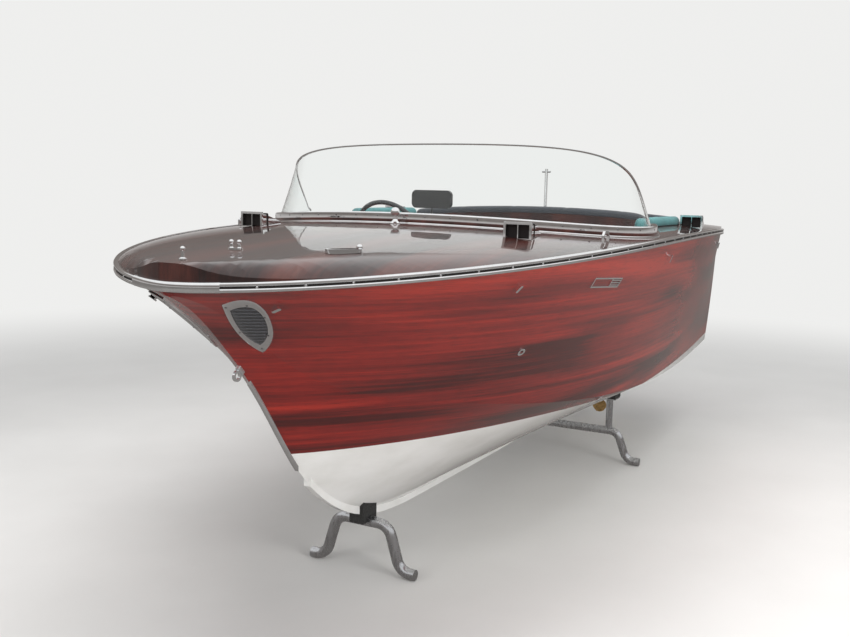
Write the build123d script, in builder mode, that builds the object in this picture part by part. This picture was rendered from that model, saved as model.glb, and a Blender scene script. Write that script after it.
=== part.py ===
from build123d import *
import math
import os

# A small hard-chine inboard runabout on its stand. Millimetres. X runs forward, Y to port, Z up.
# The origin is on the floor below the middle of the boat. "Aft" is a distance behind the bow tip.

# Hull, driving dimensions
LENGTH = 4800          # bow tip to the top of the transom
HALF_BEAM = 1050       # widest half breadth, at the sheer
WIDEST_AFT = 2300      # where the sheer is widest
STERN_HALF = 690       # half breadth at the transom
BOW_FULLNESS = 2.8     # how fast the deck widens behind the nose
NOSE_ROUNDNESS = 0.625
SHEER_TOP_Z = 1450     # the sheer is one long arc, highest here
SHEER_TOP_AFT = 2620
SHEER_RADIUS = 30400
DECK_CROWN = 60        # rise of the deck over its widest half breadth
DECK_T = 18
PLANK = 26             # hull wall with its lining
SEAM = 0.3             # open seam between curved pieces
TRANSOM_T = 36
TRANSOM_RAKE = 14      # degrees, the top overhangs aft

# Hull stations: aft, keel height, chine half breadth, chine height
STATIONS = (
    (5, 1308, 18, 1312),
    (40, 1292, 50, 1300),
    (120, 1244, 78, 1262),
    (250, 1128, 108, 1180),
    (430, 930, 132, 1050),
    (700, 565, 250, 905),
    (1100, 292, 480, 818),
    (1700, 221, 690, 736),
    (2500, 220, 795, 674),
    (3100, 232, 787, 645),
    (3700, 282, 757, 632),
    (4200, 334, 722, 632),
    (4600, 381, 693, 635),
    (4900, 418, 670, 639),
)
VOID_STATIONS = STATIONS[6:]   # only what lies aft of the solid bow

# Cockpit
COCKPIT_FRONT = 1900
COCKPIT_END = 3080
COCKPIT_HALF = 800
COCKPIT_CORNER = 130
FOOTWELL_FRONT = 1500
SOLE_Z = 600           # top of the cockpit floor
SOLE_T = 16
PANEL_T = 18           # bulkheads and dashboard
DASH_DEPTH = 260
SEAT_FRONT = 2480
SEAT_DEPTH = 460
SEAT_Z = 900           # top of the seat base
SEAT_HALF = 785
CUSHION_T = 110
BACK_T = 100
BACK_RAKE = 12
PAD_W = 62             # coaming pads
PAD_H = 44
CROWN_PAD_H = 36

# Engine hatch and engine bay
HATCH_FRONT = 3290
HATCH_END = 4180
HATCH_HALF = 520
HATCH_GAP = 5.5
HATCH_OPEN = 70
HINGE_R = 7
ENGINE_SIZE = (700, 460, 520)
ENGINE_AFT = 3650
BEARER_W = 55
BEARER_Y = 200
LID_T = 24
LEDGE_W = 22

# Rub rail
RAIL_OUT = 13
RAIL_DROP = 40
RAIL_RISE = 5

# Windshield, a leaning cone of bent sheet
SHIELD_FRONT = 1580
SHIELD_FOOT_R = 920
SHIELD_TOP_R = 715
SHIELD_TOP_FRONT = 1860
SHIELD_TOP_Z = 1890
SHIELD_END = 2300
SHIELD_T = 5
SHIELD_BASE_T = 26
SHIELD_BASE_H = 30
SHIELD_RIM_W = 10
SHIELD_RIM_T = 9
SHIELD_EDGE = (1980, 2230, 2330)   # where the top edge leaves level, passes and ends
SHIELD_DROP = 115      # of the top edge where it passes

# Running gear
PROP_AFT = 4250
PROP_Z = 190
PROP_R = 125
PROP_BLADES = 3
PROP_PITCH = 250
PROP_HUB_R = 24
PROP_HUB_L = 72
SHAFT_R = 12
SHAFT_ANGLE = 11       # degrees below level, going aft
SHAFT_FRONT = 3290
BEARING_GAP = 0.05
LOG_RUN = (3570, 3920) # the tube that takes the shaft through the bottom
LOG_R = 21
STRUT_AFT = 4150
STRUT_T = 12
RUDDER_AFT = 4430
RUDDER_BLADE = (70, 338)   # lowest and highest z
RUDDER_FORE = 50       # blade ahead of the stock
RUDDER_BACK = 115      # and behind it
RUDDER_T = 15
STOCK_R = 13
STOCK_TOP = 500
RUDDER_PORT_R = 25
RUDDER_PORT = (350, 470)   # lowest and highest z

# Steering
WHEEL_R = 195
WHEEL_RIM_R = 12
WHEEL_RAKE = 28        # of the column, from level
WHEEL_Y = -420
WHEEL_AFT = 2090
WHEEL_Z = 1420
WHEEL_DISH = 36        # the hub lies this far below the rim
WHEEL_SPOKES = 3
WHEEL_SHAFT_R = 9
COLUMN_R = 16
EXHAUST_Z = 800

# Stand of bent tube
TUBE_R = 24
TUBE_BEND = 70         # bend radius of the tube's centre line
BOW_TRESTLE_AFT = 1180
BOW_FEET = (130, 190, 265)       # half widths: top, floor and tip of the toes
STERN_TRESTLE_AFT = 3400
STERN_FEET = (455, 520, 600)
STERN_ARM_Y = 400
ARM_TOP = 400          # of the arms, where their plates carry the side pads
BLOCK_H = 20
BLOCK_W = 110

BOW_X = LENGTH / 2
TOP_ALLOWANCE = 130    # how far the hull form runs up past the sheer before the decks trim it


def x_at(aft):
    return BOW_X - aft


def half_breadth(aft):
    """Half breadth of the deck edge."""
    if aft < WIDEST_AFT:
        forward = 1 - aft / WIDEST_AFT
        return HALF_BEAM * (1 - forward**BOW_FULLNESS) ** NOSE_ROUNDNESS
    behind = (aft - WIDEST_AFT) / (LENGTH - WIDEST_AFT)
    return HALF_BEAM - (HALF_BEAM - STERN_HALF) * behind**2


def sheer_z(aft):
    return SHEER_TOP_Z - SHEER_RADIUS + math.sqrt(SHEER_RADIUS**2 - (aft - SHEER_TOP_AFT) ** 2)


CROWN_RADIUS = (HALF_BEAM**2 + DECK_CROWN**2) / (2 * DECK_CROWN)


def deck_z(aft, y=0):
    """Height of the deck's top surface."""
    return sheer_z(aft) + DECK_T + DECK_CROWN - CROWN_RADIUS + math.sqrt(CROWN_RADIUS**2 - y**2)


def keel_z(aft):
    """Height of the keel line, straight between stations."""
    for (a0, z0, *_), (a1, z1, *_) in zip(STATIONS, STATIONS[1:]):
        if aft <= a1:
            return z0 + (z1 - z0) * (aft - a0) / (a1 - a0)
    return STATIONS[-1][1]


def chine_at(aft):
    """Half breadth and height of the chine."""
    for (a0, _, y0, z0), (a1, _, y1, z1) in zip(STATIONS, STATIONS[1:]):
        if aft <= a1:
            t = (aft - a0) / (a1 - a0)
            return y0 + (y1 - y0) * t, z0 + (z1 - z0) * t
    return STATIONS[-1][2:]


def section(aft, keel, chine_y, chine_z):
    """Closed outline of the hull across a station, as (y, z) points."""
    y = half_breadth(min(aft, LENGTH))
    z = sheer_z(aft)
    side = [(chine_y, chine_z), (y, z), (y, z + TOP_ALLOWANCE)]
    return [(0, keel)] + side + [(-a, b) for a, b in reversed(side)]


def station_plane(aft):
    """Plane across the boat whose sketch axes are Y and Z."""
    return Plane(origin=(x_at(aft), 0, 0), x_dir=(0, 1, 0), z_dir=(1, 0, 0))


SIDE_VIEW = Plane(origin=(0, 0, 0), x_dir=(1, 0, 0), z_dir=(0, -1, 0))
WIDE = 3000            # wider than the boat


pieces = {}


def save(name, part):
    """Keep a finished piece, write its file and print its volume."""
    part.label = name
    pieces[name] = part
    export_step(part, f"parts/{name}.step")
    solids = len(part.solids())
    print(f"{name:24s} solids {solids:2d} volume {part.volume / 1e3:12.1f} cm3 valid {part.is_valid}")


os.makedirs("parts", exist_ok=True)

# Whole outside of the hull, run up past the sheer
with BuildPart() as hull_form:
    for station in STATIONS:
        with BuildSketch(station_plane(station[0])):
            Polygon(*section(*station), align=None)
    loft()


def inside_form(inset):
    """Inside of the hull at a distance from its outer face."""
    with BuildPart() as form:
        for row in VOID_STATIONS:
            with BuildSketch(station_plane(row[0])):
                Polygon(*section(*row), align=None)
                offset(amount=-inset, kind=Kind.INTERSECTION)
        loft()
    return form.part


void_form = inside_form(PLANK)
fit_form = inside_form(PLANK + SEAM)

# Everything under the sheer line
with BuildPart() as under_sheer:
    with BuildSketch(SIDE_VIEW):
        with BuildLine():
            ends = [(x_at(-200), sheer_z(-200)), (x_at(LENGTH + 200), sheer_z(LENGTH + 200))]
            ThreePointArc(ends[0], (x_at(SHEER_TOP_AFT), SHEER_TOP_Z), ends[1])
            Polyline(ends[1], (ends[1][0], 0), (ends[0][0], 0), ends[0])
        make_face()
    extrude(amount=WIDE / 2, both=True)


deck_centre = Axis((x_at(SHEER_TOP_AFT), 0, SHEER_TOP_Z - SHEER_RADIUS), (0, 1, 0))
DECK_SWEEP = 6         # degrees of the sheer arc on each side of its top, past both ends
DECK_WIDE = HALF_BEAM + 40


def deck_layer(bottom, top):
    """Slab that follows the crowned deck from one height to another, both above the deck's top."""
    crown_z = SHEER_TOP_Z + DECK_T + DECK_CROWN
    edge_drop = CROWN_RADIUS - math.sqrt(CROWN_RADIUS**2 - DECK_WIDE**2)
    with BuildPart() as layer:
        for sweep in (DECK_SWEEP, -DECK_SWEEP):
            with BuildSketch(station_plane(SHEER_TOP_AFT)):
                with BuildLine():
                    port = (DECK_WIDE, crown_z - edge_drop + top)
                    starboard = (-DECK_WIDE, crown_z - edge_drop + top)
                    ThreePointArc(port, (0, crown_z + top), starboard)
                    if bottom is None:
                        low = SHEER_TOP_Z + SEAM
                        Polyline(starboard, (-DECK_WIDE, low), (DECK_WIDE, low), port)
                    else:
                        low_port = (DECK_WIDE, port[1] - top + bottom)
                        low_starboard = (-DECK_WIDE, low_port[1])
                        Line(starboard, low_starboard)
                        ThreePointArc(low_starboard, (0, crown_z + bottom), low_port)
                        Line(low_port, port)
                make_face()
            revolve(axis=deck_centre, revolution_arc=sweep)
    return layer.part


transom_face = Plane(
    origin=(x_at(LENGTH), 0, sheer_z(LENGTH)),
    x_dir=(0, 1, 0),
    z_dir=(-math.cos(math.radians(TRANSOM_RAKE)), 0, -math.sin(math.radians(TRANSOM_RAKE))),
)
transom_inside = transom_face.offset(-TRANSOM_T)
stern_plane = Plane(origin=(x_at(LENGTH), 0, 0), z_dir=(1, 0, 0))

# Planking, one shell before it is parted at the chine and the centreline
with BuildPart() as planking:
    add(hull_form.part)
    add(under_sheer.part, mode=Mode.INTERSECT)
    add(void_form, mode=Mode.SUBTRACT)
    split(bisect_by=transom_inside, keep=Keep.BOTTOM)

CHINE_LAP = 8          # the side planking stops this far above the chine
with BuildPart() as under_chine:
    with BuildSketch(SIDE_VIEW):
        with BuildLine():
            lap = [(x_at(row[0]), row[3] + CHINE_LAP) for row in STATIONS[3:]]
            Spline(*lap)
            Polyline(lap[-1], (lap[-1][0], 0), (lap[0][0], 0), lap[0])
        make_face()
    extrude(amount=WIDE / 2, both=True)

# Rudder and shaft pierce the bottom planking
shaft_out = Vector(-math.cos(math.radians(SHAFT_ANGLE)), 0, -math.sin(math.radians(SHAFT_ANGLE)))
prop_centre = Vector(x_at(PROP_AFT), 0, PROP_Z)


def shaft_point(aft):
    """Point of the shaft's axis."""
    return prop_centre + shaft_out * ((aft - PROP_AFT) / math.cos(math.radians(SHAFT_ANGLE)))


def shaft_run(first, last, radius):
    """Cylinder along the shaft's axis between two distances from the bow."""
    start = shaft_point(first)
    with BuildPart() as run:
        with BuildSketch(Plane(origin=start, x_dir=(0, 1, 0), z_dir=shaft_out)):
            Circle(radius)
        extrude(amount=(shaft_point(last) - start).length)
    return run.part


def rudder_run(low, high, radius):
    """Cylinder round the rudder's axis between two heights."""
    with BuildPart() as run:
        with BuildSketch(Plane.XY.offset(low)):
            with Locations((x_at(RUDDER_AFT), 0)):
                Circle(radius)
        extrude(amount=high - low)
    return run.part


with BuildPart() as hull_bores:
    add(shaft_run(LOG_RUN[0] - 60, LOG_RUN[1] + 60, LOG_R + SEAM))
    add(rudder_run(250, 600, RUDDER_PORT_R + SEAM))

for side_name, keep in (("port", Keep.BOTTOM), ("starboard", Keep.TOP)):
    with BuildPart() as hull_side:
        add(planking.part)
        add(under_chine.part, mode=Mode.SUBTRACT)
        split(bisect_by=Plane.XZ, keep=keep)
    save(f"hull_side_{side_name}", hull_side.part)
    with BuildPart() as hull_bottom:
        add(planking.part)
        add(under_chine.part, mode=Mode.INTERSECT)
        add(hull_bores.part, mode=Mode.SUBTRACT)
        split(bisect_by=Plane.XZ, keep=keep)
    save(f"hull_bottom_{side_name}", hull_bottom.part)

with BuildPart() as transom:
    add(hull_form.part)
    add(under_sheer.part, mode=Mode.INTERSECT)
    split(bisect_by=transom_inside, keep=Keep.TOP)
    split(bisect_by=transom_face, keep=Keep.BOTTOM)
save("transom", transom.part)

HATCH_MID = (HATCH_FRONT + HATCH_END) / 2
HATCH_LONG = HATCH_END - HATCH_FRONT
with BuildPart() as hatch_recess:
    with BuildSketch(Plane.XY.offset(SHEER_TOP_Z - 200)):
        with Locations((x_at(HATCH_MID), 0)):
            RectangleRounded(HATCH_LONG, 2 * HATCH_HALF, 40)
    extrude(amount=400)
    add(deck_layer(-LID_T - SEAM, 60), mode=Mode.INTERSECT)

deck_slab = deck_layer(None, 0)
with BuildPart() as whole_deck:
    add(hull_form.part)
    add(deck_slab, mode=Mode.INTERSECT)
    split(bisect_by=stern_plane, keep=Keep.TOP)
    with BuildSketch(Plane.XY.offset(sheer_z(0) - 100)):
        with Locations((x_at((COCKPIT_FRONT + COCKPIT_END) / 2), 0)):
            RectangleRounded(COCKPIT_END - COCKPIT_FRONT, 2 * COCKPIT_HALF, COCKPIT_CORNER)
        with Locations((x_at(HATCH_MID), 0)):
            RectangleRounded(HATCH_LONG - 2 * LEDGE_W, 2 * (HATCH_HALF - LEDGE_W), 30)
    extrude(amount=400, mode=Mode.SUBTRACT)
    add(hatch_recess.part, mode=Mode.SUBTRACT)
DECK_SEAMS = (COCKPIT_FRONT + COCKPIT_CORNER + 20, COCKPIT_END - COCKPIT_CORNER - 20)
fore_seam, aft_seam = (Plane(origin=(x_at(a), 0, 0), z_dir=(1, 0, 0)) for a in DECK_SEAMS)
with BuildPart() as foredeck:
    add(whole_deck.part)
    split(bisect_by=fore_seam, keep=Keep.TOP)
save("foredeck", foredeck.part)
with BuildPart() as aft_deck:
    add(whole_deck.part)
    split(bisect_by=aft_seam, keep=Keep.BOTTOM)
save("aft_deck", aft_deck.part)
for side_name, keep in (("port", Keep.BOTTOM), ("starboard", Keep.TOP)):
    with BuildPart() as side_deck:
        add(whole_deck.part)
        split(bisect_by=fore_seam, keep=Keep.BOTTOM)
        split(bisect_by=aft_seam, keep=Keep.TOP)
        split(bisect_by=Plane.XZ, keep=keep)
    save(f"side_deck_{side_name}", side_deck.part)


# Engine hatch
with BuildPart() as engine_hatch:
    with BuildSketch(Plane.XY.offset(SHEER_TOP_Z - 200)):
        with Locations((x_at(HATCH_MID), 0)):
            RectangleRounded(HATCH_LONG - 2 * HATCH_GAP, 2 * (HATCH_HALF - HATCH_GAP), 36)
    extrude(amount=400)
    add(deck_layer(-LID_T, 0), mode=Mode.INTERSECT)
save("engine_hatch", engine_hatch.part)

# Panels across the boat
def cross_panel(aft, low, high):
    """Panel across the hull, aft of a station, between two heights."""
    with BuildPart() as panel:
        with BuildSketch(station_plane(aft)):
            with Locations((0, (low + high) / 2)):
                Rectangle(WIDE, high - low)
        extrude(amount=-PANEL_T)
        add(fit_form, mode=Mode.INTERSECT)
        add(under_sheer.part, mode=Mode.INTERSECT)
    return panel.part


save("footwell_bulkhead", cross_panel(FOOTWELL_FRONT - PANEL_T, 0, SHEER_TOP_Z))
dash_z = sheer_z(COCKPIT_FRONT)
save("dashboard", cross_panel(COCKPIT_FRONT - PANEL_T, dash_z - DASH_DEPTH, dash_z + PANEL_T))

BEARER_TOP = SOLE_Z - SOLE_T
BEARER_END = 4480
with BuildPart() as engine_bearers:
    with BuildSketch(Plane.XY):
        with GridLocations(0, 2 * BEARER_Y, 1, 2):
            with Locations((x_at((FOOTWELL_FRONT + BEARER_END) / 2), 0)):
                Rectangle(BEARER_END - FOOTWELL_FRONT - 2, BEARER_W)
    extrude(amount=BEARER_TOP)
    add(fit_form, mode=Mode.INTERSECT)
save("engine_bearers", engine_bearers.part)

with BuildPart() as aft_bulkhead:
    add(cross_panel(COCKPIT_END, 0, SHEER_TOP_Z))
    add(engine_bearers.part, mode=Mode.SUBTRACT)
save("aft_bulkhead", aft_bulkhead.part)

with BuildPart() as cockpit_sole:
    with BuildSketch(Plane.XY.offset(BEARER_TOP)):
        with Locations((x_at((FOOTWELL_FRONT + COCKPIT_END) / 2), 0)):
            Rectangle(COCKPIT_END - FOOTWELL_FRONT, WIDE)
    extrude(amount=SOLE_T)
    add(fit_form, mode=Mode.INTERSECT)
save("cockpit_sole", cockpit_sole.part)

# Bench
with BuildPart() as seat_base:
    with BuildSketch(SIDE_VIEW):
        with BuildLine():
            Polyline(
                (x_at(SEAT_FRONT), SOLE_Z), (x_at(SEAT_FRONT), SEAT_Z), (x_at(COCKPIT_END), SEAT_Z),
                (x_at(COCKPIT_END), SEAT_Z - PANEL_T), (x_at(SEAT_FRONT + PANEL_T), SEAT_Z - PANEL_T),
                (x_at(SEAT_FRONT + PANEL_T), SOLE_Z), close=True,
            )
        make_face()
    extrude(amount=WIDE / 2, both=True)
    add(fit_form, mode=Mode.INTERSECT)
save("seat_base", seat_base.part)

SEAT_END = SEAT_FRONT + SEAT_DEPTH
with BuildPart() as seat_cushion:
    with BuildSketch(Plane.XY.offset(SEAT_Z + SEAM)):
        with Locations((x_at((SEAT_FRONT + SEAT_END) / 2 - 10), 0)):
            RectangleRounded(SEAT_DEPTH - 4, 2 * SEAT_HALF, 45)
    extrude(amount=CUSHION_T)
    fillet(seat_cushion.edges().group_by(Axis.Z)[-1], 30)
save("seat_cushion", seat_cushion.part)

BACK_TOP_Z = sheer_z(COCKPIT_END) - 22
with BuildPart() as seat_back:
    with BuildSketch(SIDE_VIEW):
        foot = x_at(COCKPIT_END - 45)
        head = x_at(COCKPIT_END - SEAM * 10)
        with BuildLine():
            Polyline(
                (foot, SEAT_Z + SEAM), (head, BACK_TOP_Z), (head + BACK_T * 0.75, BACK_TOP_Z),
                (foot + BACK_T, SEAT_Z + CUSHION_T + 12), (foot + BACK_T * 0.6, SEAT_Z + SEAM), close=True,
            )
        make_face()
    extrude(amount=SEAT_HALF, both=True)
    fillet(seat_back.edges().filter_by(Axis.Y).sort_by(Axis.Z)[-2:], 22)
save("seat_back", seat_back.part)

# Pads on the cockpit's edge
PAD_FRONT = SHIELD_END + 60
for side_name, side in (("port", 1), ("starboard", -1)):
    with BuildPart() as coaming_pad:
        with BuildSketch(Plane.XY.offset(SHEER_TOP_Z - 200)):
            with Locations((x_at((PAD_FRONT + COCKPIT_END) / 2), side * (COCKPIT_HALF + PAD_W / 2 - 10))):
                RectangleRounded(COCKPIT_END - PAD_FRONT, PAD_W, PAD_W / 2 - 2)
        extrude(amount=400)
        add(deck_layer(SEAM, PAD_H), mode=Mode.INTERSECT)
        fillet(coaming_pad.edges().group_by(Axis.Z)[-1], 12)
    save(f"coaming_pad_{side_name}", coaming_pad.part)

CROWN_PAD_LONG = 90
with BuildPart() as crown_pad:
    with BuildSketch(Plane.XY.offset(SHEER_TOP_Z - 200)):
        with Locations((x_at(COCKPIT_END + CROWN_PAD_LONG / 2 + 4), 0)):
            RectangleRounded(CROWN_PAD_LONG, 2 * COCKPIT_HALF + 60, 40)
    extrude(amount=400)
    add(deck_layer(SEAM, CROWN_PAD_H), mode=Mode.INTERSECT)
save("aft_crown_pad", crown_pad.part)

# Rub rail right round the boat
with BuildPart() as closed_hull:
    add(hull_form.part)
    split(bisect_by=transom_face, keep=Keep.BOTTOM)
with BuildPart() as rail_band:
    with BuildSketch(SIDE_VIEW):
        with BuildLine():
            over = DECK_T + RAIL_RISE
            upper = [(x_at(a), sheer_z(a) + over) for a in (-200, SHEER_TOP_AFT, LENGTH + 200)]
            lower = [(x_at(a), sheer_z(a) - RAIL_DROP) for a in (LENGTH + 200, SHEER_TOP_AFT, -200)]
            ThreePointArc(*upper)
            Line(upper[-1], lower[0])
            ThreePointArc(*lower)
            Line(lower[-1], upper[0])
        make_face()
    extrude(amount=WIDE / 2, both=True)
RAIL_AFTS = (30, 110, 260, 500, 850, 1300, 1900, 2600, 3400, 4200, LENGTH + 20)


def rail_edge(aft):
    """Point of the rail's outer edge in plan, square off the deck's edge."""
    step = 1
    slope = (half_breadth(aft + step) - half_breadth(aft - step)) / (2 * step)
    run = math.hypot(1, slope)
    return (x_at(aft) + slope * RAIL_OUT / run, half_breadth(aft) + RAIL_OUT / run)


with BuildPart() as rub_rail:
    with BuildSketch(Plane.XY.offset(SHEER_TOP_Z - 400)):
        with BuildLine():
            port_edge = [rail_edge(a) for a in RAIL_AFTS]
            starboard_edge = [(x, -y) for x, y in port_edge]
            Spline(*reversed(starboard_edge), (x_at(0) + RAIL_OUT, 0), *port_edge)
            Line(port_edge[-1], starboard_edge[-1])
        make_face()
    extrude(amount=600)
    add(rail_band.part, mode=Mode.INTERSECT)
    add(closed_hull.part, mode=Mode.SUBTRACT)
    split(bisect_by=stern_plane.offset(-RAIL_OUT), keep=Keep.TOP)
save("rub_rail", rub_rail.part)


def keel_band(first, last, out, width, shape=None):
    """Strip that lies outside the keel line between two stations, and hugs the hull."""
    rows = [row for row in STATIONS if first - 400 <= row[0] <= last + 700]
    points = [(x_at(row[0]), row[1]) for row in rows]
    outer = []
    inner = []
    for index, point in enumerate(points):
        before = points[max(index - 1, 0)]
        after = points[min(index + 1, len(points) - 1)]
        run = math.hypot(after[0] - before[0], after[1] - before[1])
        normal = ((after[1] - before[1]) / run, -(after[0] - before[0]) / run)
        outer.append((point[0] - normal[0] * out, point[1] - normal[1] * out))
        inner.append((point[0] + normal[0] * 60, point[1] + normal[1] * 60))
    with BuildPart() as band:
        with BuildSketch(SIDE_VIEW):
            with BuildLine():
                Spline(*outer)
                Line(outer[-1], inner[-1])
                Polyline(*reversed(inner))
                Line(inner[0], outer[0])
            make_face()
        extrude(amount=width / 2, both=True)
        add(hull_form.part, mode=Mode.SUBTRACT)
        with BuildSketch(SIDE_VIEW):
            with Locations((x_at((first + last) / 2), 500)):
                Rectangle(last - first, 2400)
        extrude(amount=WIDE / 2, both=True, mode=Mode.INTERSECT)
    return band.part


STEM_BAND = (400, 690)
KEEL_STRIP = (760, 3480)
stem_band = keel_band(*STEM_BAND, 7, 16)
save("stem_band", stem_band)
keel_strip = keel_band(*KEEL_STRIP, 16, 34)
save("keel_strip", keel_strip)


# Windshield
SHIELD_FOOT_Z = deck_z(SHIELD_FRONT)


def shield_circle(z):
    """Front and radius of the sheet's outer face at a height."""
    rise = (z - SHIELD_FOOT_Z) / (SHIELD_TOP_Z - SHIELD_FOOT_Z)
    front = SHIELD_FRONT + (SHIELD_TOP_FRONT - SHIELD_FRONT) * rise
    return front, SHIELD_FOOT_R + (SHIELD_TOP_R - SHIELD_FOOT_R) * rise


def shield_wall(outside, inside):
    """Leaning conical wall between two distances from the sheet's outer face."""
    with BuildPart() as wall:
        for grow, mode in ((outside, Mode.ADD), (inside, Mode.SUBTRACT)):
            for z in (SHIELD_FOOT_Z - 80, SHIELD_TOP_Z + 40):
                front, radius = shield_circle(z)
                with BuildSketch(Plane.XY.offset(z)):
                    with Locations((x_at(front + radius), 0)):
                        Circle(radius + grow)
            loft(mode=mode)
    return wall.part


def shield_side(inset):
    """Everything under the windshield's top edge, seen from the side."""
    level_end, passing, end = SHIELD_EDGE
    with BuildPart() as side:
        with BuildSketch(SIDE_VIEW):
            with BuildLine():
                corner = (x_at(end), SHIELD_FOOT_Z - 30)
                front_x = x_at(SHIELD_FRONT - 300)
                Polyline((x_at(end), 1000), (front_x, 1000), (front_x, SHIELD_TOP_Z),
                         (x_at(level_end), SHIELD_TOP_Z))
                ThreePointArc((x_at(level_end), SHIELD_TOP_Z), (x_at(passing), SHIELD_TOP_Z - SHIELD_DROP), corner)
                Line(corner, (x_at(end), 1000))
            make_face()
            offset(amount=-inset) if inset else None
        extrude(amount=WIDE / 2, both=True)
    return side.part


shield_area = shield_side(0)
clear_area = shield_side(SHIELD_RIM_W)
base_layer = deck_layer(SEAM, SHIELD_BASE_H)
below_sheet = deck_layer(-60, SHIELD_BASE_H + SEAM)
with BuildPart() as windshield_base:
    add(shield_wall(SHIELD_BASE_T / 2 - SHIELD_T / 2, -SHIELD_BASE_T / 2 - SHIELD_T / 2))
    add(base_layer, mode=Mode.INTERSECT)
    add(shield_area, mode=Mode.INTERSECT)
save("windshield_base", windshield_base.part)
with BuildPart() as windshield_glass:
    add(shield_wall(0, -SHIELD_T))
    add(clear_area, mode=Mode.INTERSECT)
    add(below_sheet, mode=Mode.SUBTRACT)
    split(bisect_by=Plane.XY.offset(SHIELD_FOOT_Z - 40), keep=Keep.TOP)
save("windshield_glass", windshield_glass.part)
with BuildPart() as windshield_rim:
    add(shield_wall(SHIELD_RIM_T / 2 - SHIELD_T / 2, -SHIELD_RIM_T / 2 - SHIELD_T / 2))
    add(shield_area, mode=Mode.INTERSECT)
    add(shield_side(SHIELD_RIM_W - SEAM), mode=Mode.SUBTRACT)
    add(below_sheet, mode=Mode.SUBTRACT)
    split(bisect_by=Plane.XY.offset(SHIELD_FOOT_Z - 40), keep=Keep.TOP)
save("windshield_rim", windshield_rim.part)

# Deck fittings stand a little into the deck before this slab trims their feet
SUNK = 6
deck_cut = deck_layer(None, SEAM)


def turned(origin, direction, *profile):
    """Solid of revolution whose profile is given as (radius, height along the axis)."""
    along = Vector(*direction).normalized()
    across = Vector(0, 1, 0) if abs(along.Y) < 0.9 else Vector(1, 0, 0)
    across = (across - along * across.dot(along)).normalized()
    plane = Plane(origin=origin, x_dir=across, z_dir=across.cross(along))
    with BuildPart() as solid:
        with BuildSketch(plane):
            with BuildLine():
                Polyline(*profile, close=True)
            make_face()
        revolve(axis=Axis(origin, along))
    return solid.part


UP = (0, 0, 1)


def deck_point(aft, y=0, lift=0.0):
    return (x_at(aft), y, deck_z(aft, y) + lift)


def ball_post(aft, y, foot_r, stem_r, tall, ball_r):
    """Chrome foot, stem and ball that stand on the deck."""
    with BuildPart() as post:
        add(turned(deck_point(aft, y, -SUNK), UP, (0, 0), (foot_r, 0), (foot_r, SUNK + 5),
                   (stem_r, SUNK + 9), (stem_r, SUNK + tall), (0, SUNK + tall)))
        with Locations(deck_point(aft, y, tall)):
            Sphere(ball_r)
        add(deck_cut, mode=Mode.SUBTRACT)
    return post.part


save("bow_post", ball_post(70, 0, 13, 5, 36, 8.5))

# Cleat of two balls on one foot
CLEAT_AFT = 330
with BuildPart() as bow_cleat:
    with BuildSketch(Plane.XY.offset(deck_z(CLEAT_AFT) - SUNK)):
        with Locations((x_at(CLEAT_AFT), 0)):
            SlotCenterToCenter(34, 24, rotation=90)
    extrude(amount=SUNK + 6)
    for y in (-17, 17):
        add(ball_post(CLEAT_AFT, y, 8, 5.5, 26, 8.5))
    add(deck_cut, mode=Mode.SUBTRACT)
save("bow_cleat", bow_cleat.part)

# Oval ring fitting with a ball at its aft end
RING_AFT, RING_Y = 455, 360
with BuildPart() as deck_ring:
    ring_x, ring_y, ring_z = deck_point(RING_AFT, RING_Y, -SUNK)
    with BuildSketch(Plane.XY.offset(ring_z)):
        with Locations(Location((ring_x, ring_y), -32)):
            SlotOverall(132, 66)
            SlotOverall(104, 38, mode=Mode.SUBTRACT)
    extrude(amount=SUNK + 12)
    with Locations((ring_x - 50, ring_y + 31, ring_z + SUNK + 16)):
        Sphere(11)
    add(deck_cut, mode=Mode.SUBTRACT)
save("deck_ring", deck_ring.part)

BALL_LIGHT_AFT = 1490
save("bow_light", ball_post(BALL_LIGHT_AFT, 0, 24, 13, 26, 20))

# Box ventilators: a scoop with an open mouth, a rib and a tapering back
VENT_W = 112
VENT_H = 60
VENT_L = 175
VENT_WALL = 3
VENT_TAIL = (56, 16)


def ventilator(aft, y, facing):
    """Scoop on the deck whose mouth faces forward (1) or aft (-1)."""
    x, _, z = deck_point(aft, y, -SUNK)
    with BuildPart() as scoop:
        for inside in (0, VENT_WALL):
            for back, wide, tall in ((0, VENT_W, VENT_H + SUNK), (VENT_L, VENT_TAIL[0], VENT_TAIL[1] + SUNK)):
                depth = back - inside if back else 0
                wide_now, tall_now = wide - 2 * inside, tall - inside
                plane = Plane(origin=(x - facing * depth, y, z), x_dir=(0, 1, 0), z_dir=(1, 0, 0))
                with BuildSketch(plane):
                    with Locations((0, tall_now / 2)):
                        Rectangle(wide_now, tall_now)
            loft(ruled=True, mode=Mode.SUBTRACT if inside else Mode.ADD)
        with BuildSketch(Plane(origin=(x, y, z), x_dir=(0, 1, 0), z_dir=(facing, 0, 0))):
            with Locations((0, (VENT_H + SUNK) / 2)):
                Rectangle(VENT_W + 8, VENT_H + SUNK + 8)
                Rectangle(VENT_W - 12, VENT_H + SUNK - 12, mode=Mode.SUBTRACT)
        extrude(amount=8)
        with Locations((x - facing * 14, y, z + (VENT_H + SUNK) / 2)):
            Box(36, 4, VENT_H + SUNK - 2)
        add(deck_cut, mode=Mode.SUBTRACT)
    return scoop.part


for name, aft, y in (("ventilators_fore", 1250, 655), ("ventilators_aft", 3000, 925)):
    with BuildPart() as vents:
        for side in (1, -1):
            add(ventilator(aft, side * y, 1))
    save(name, vents.part)

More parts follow.
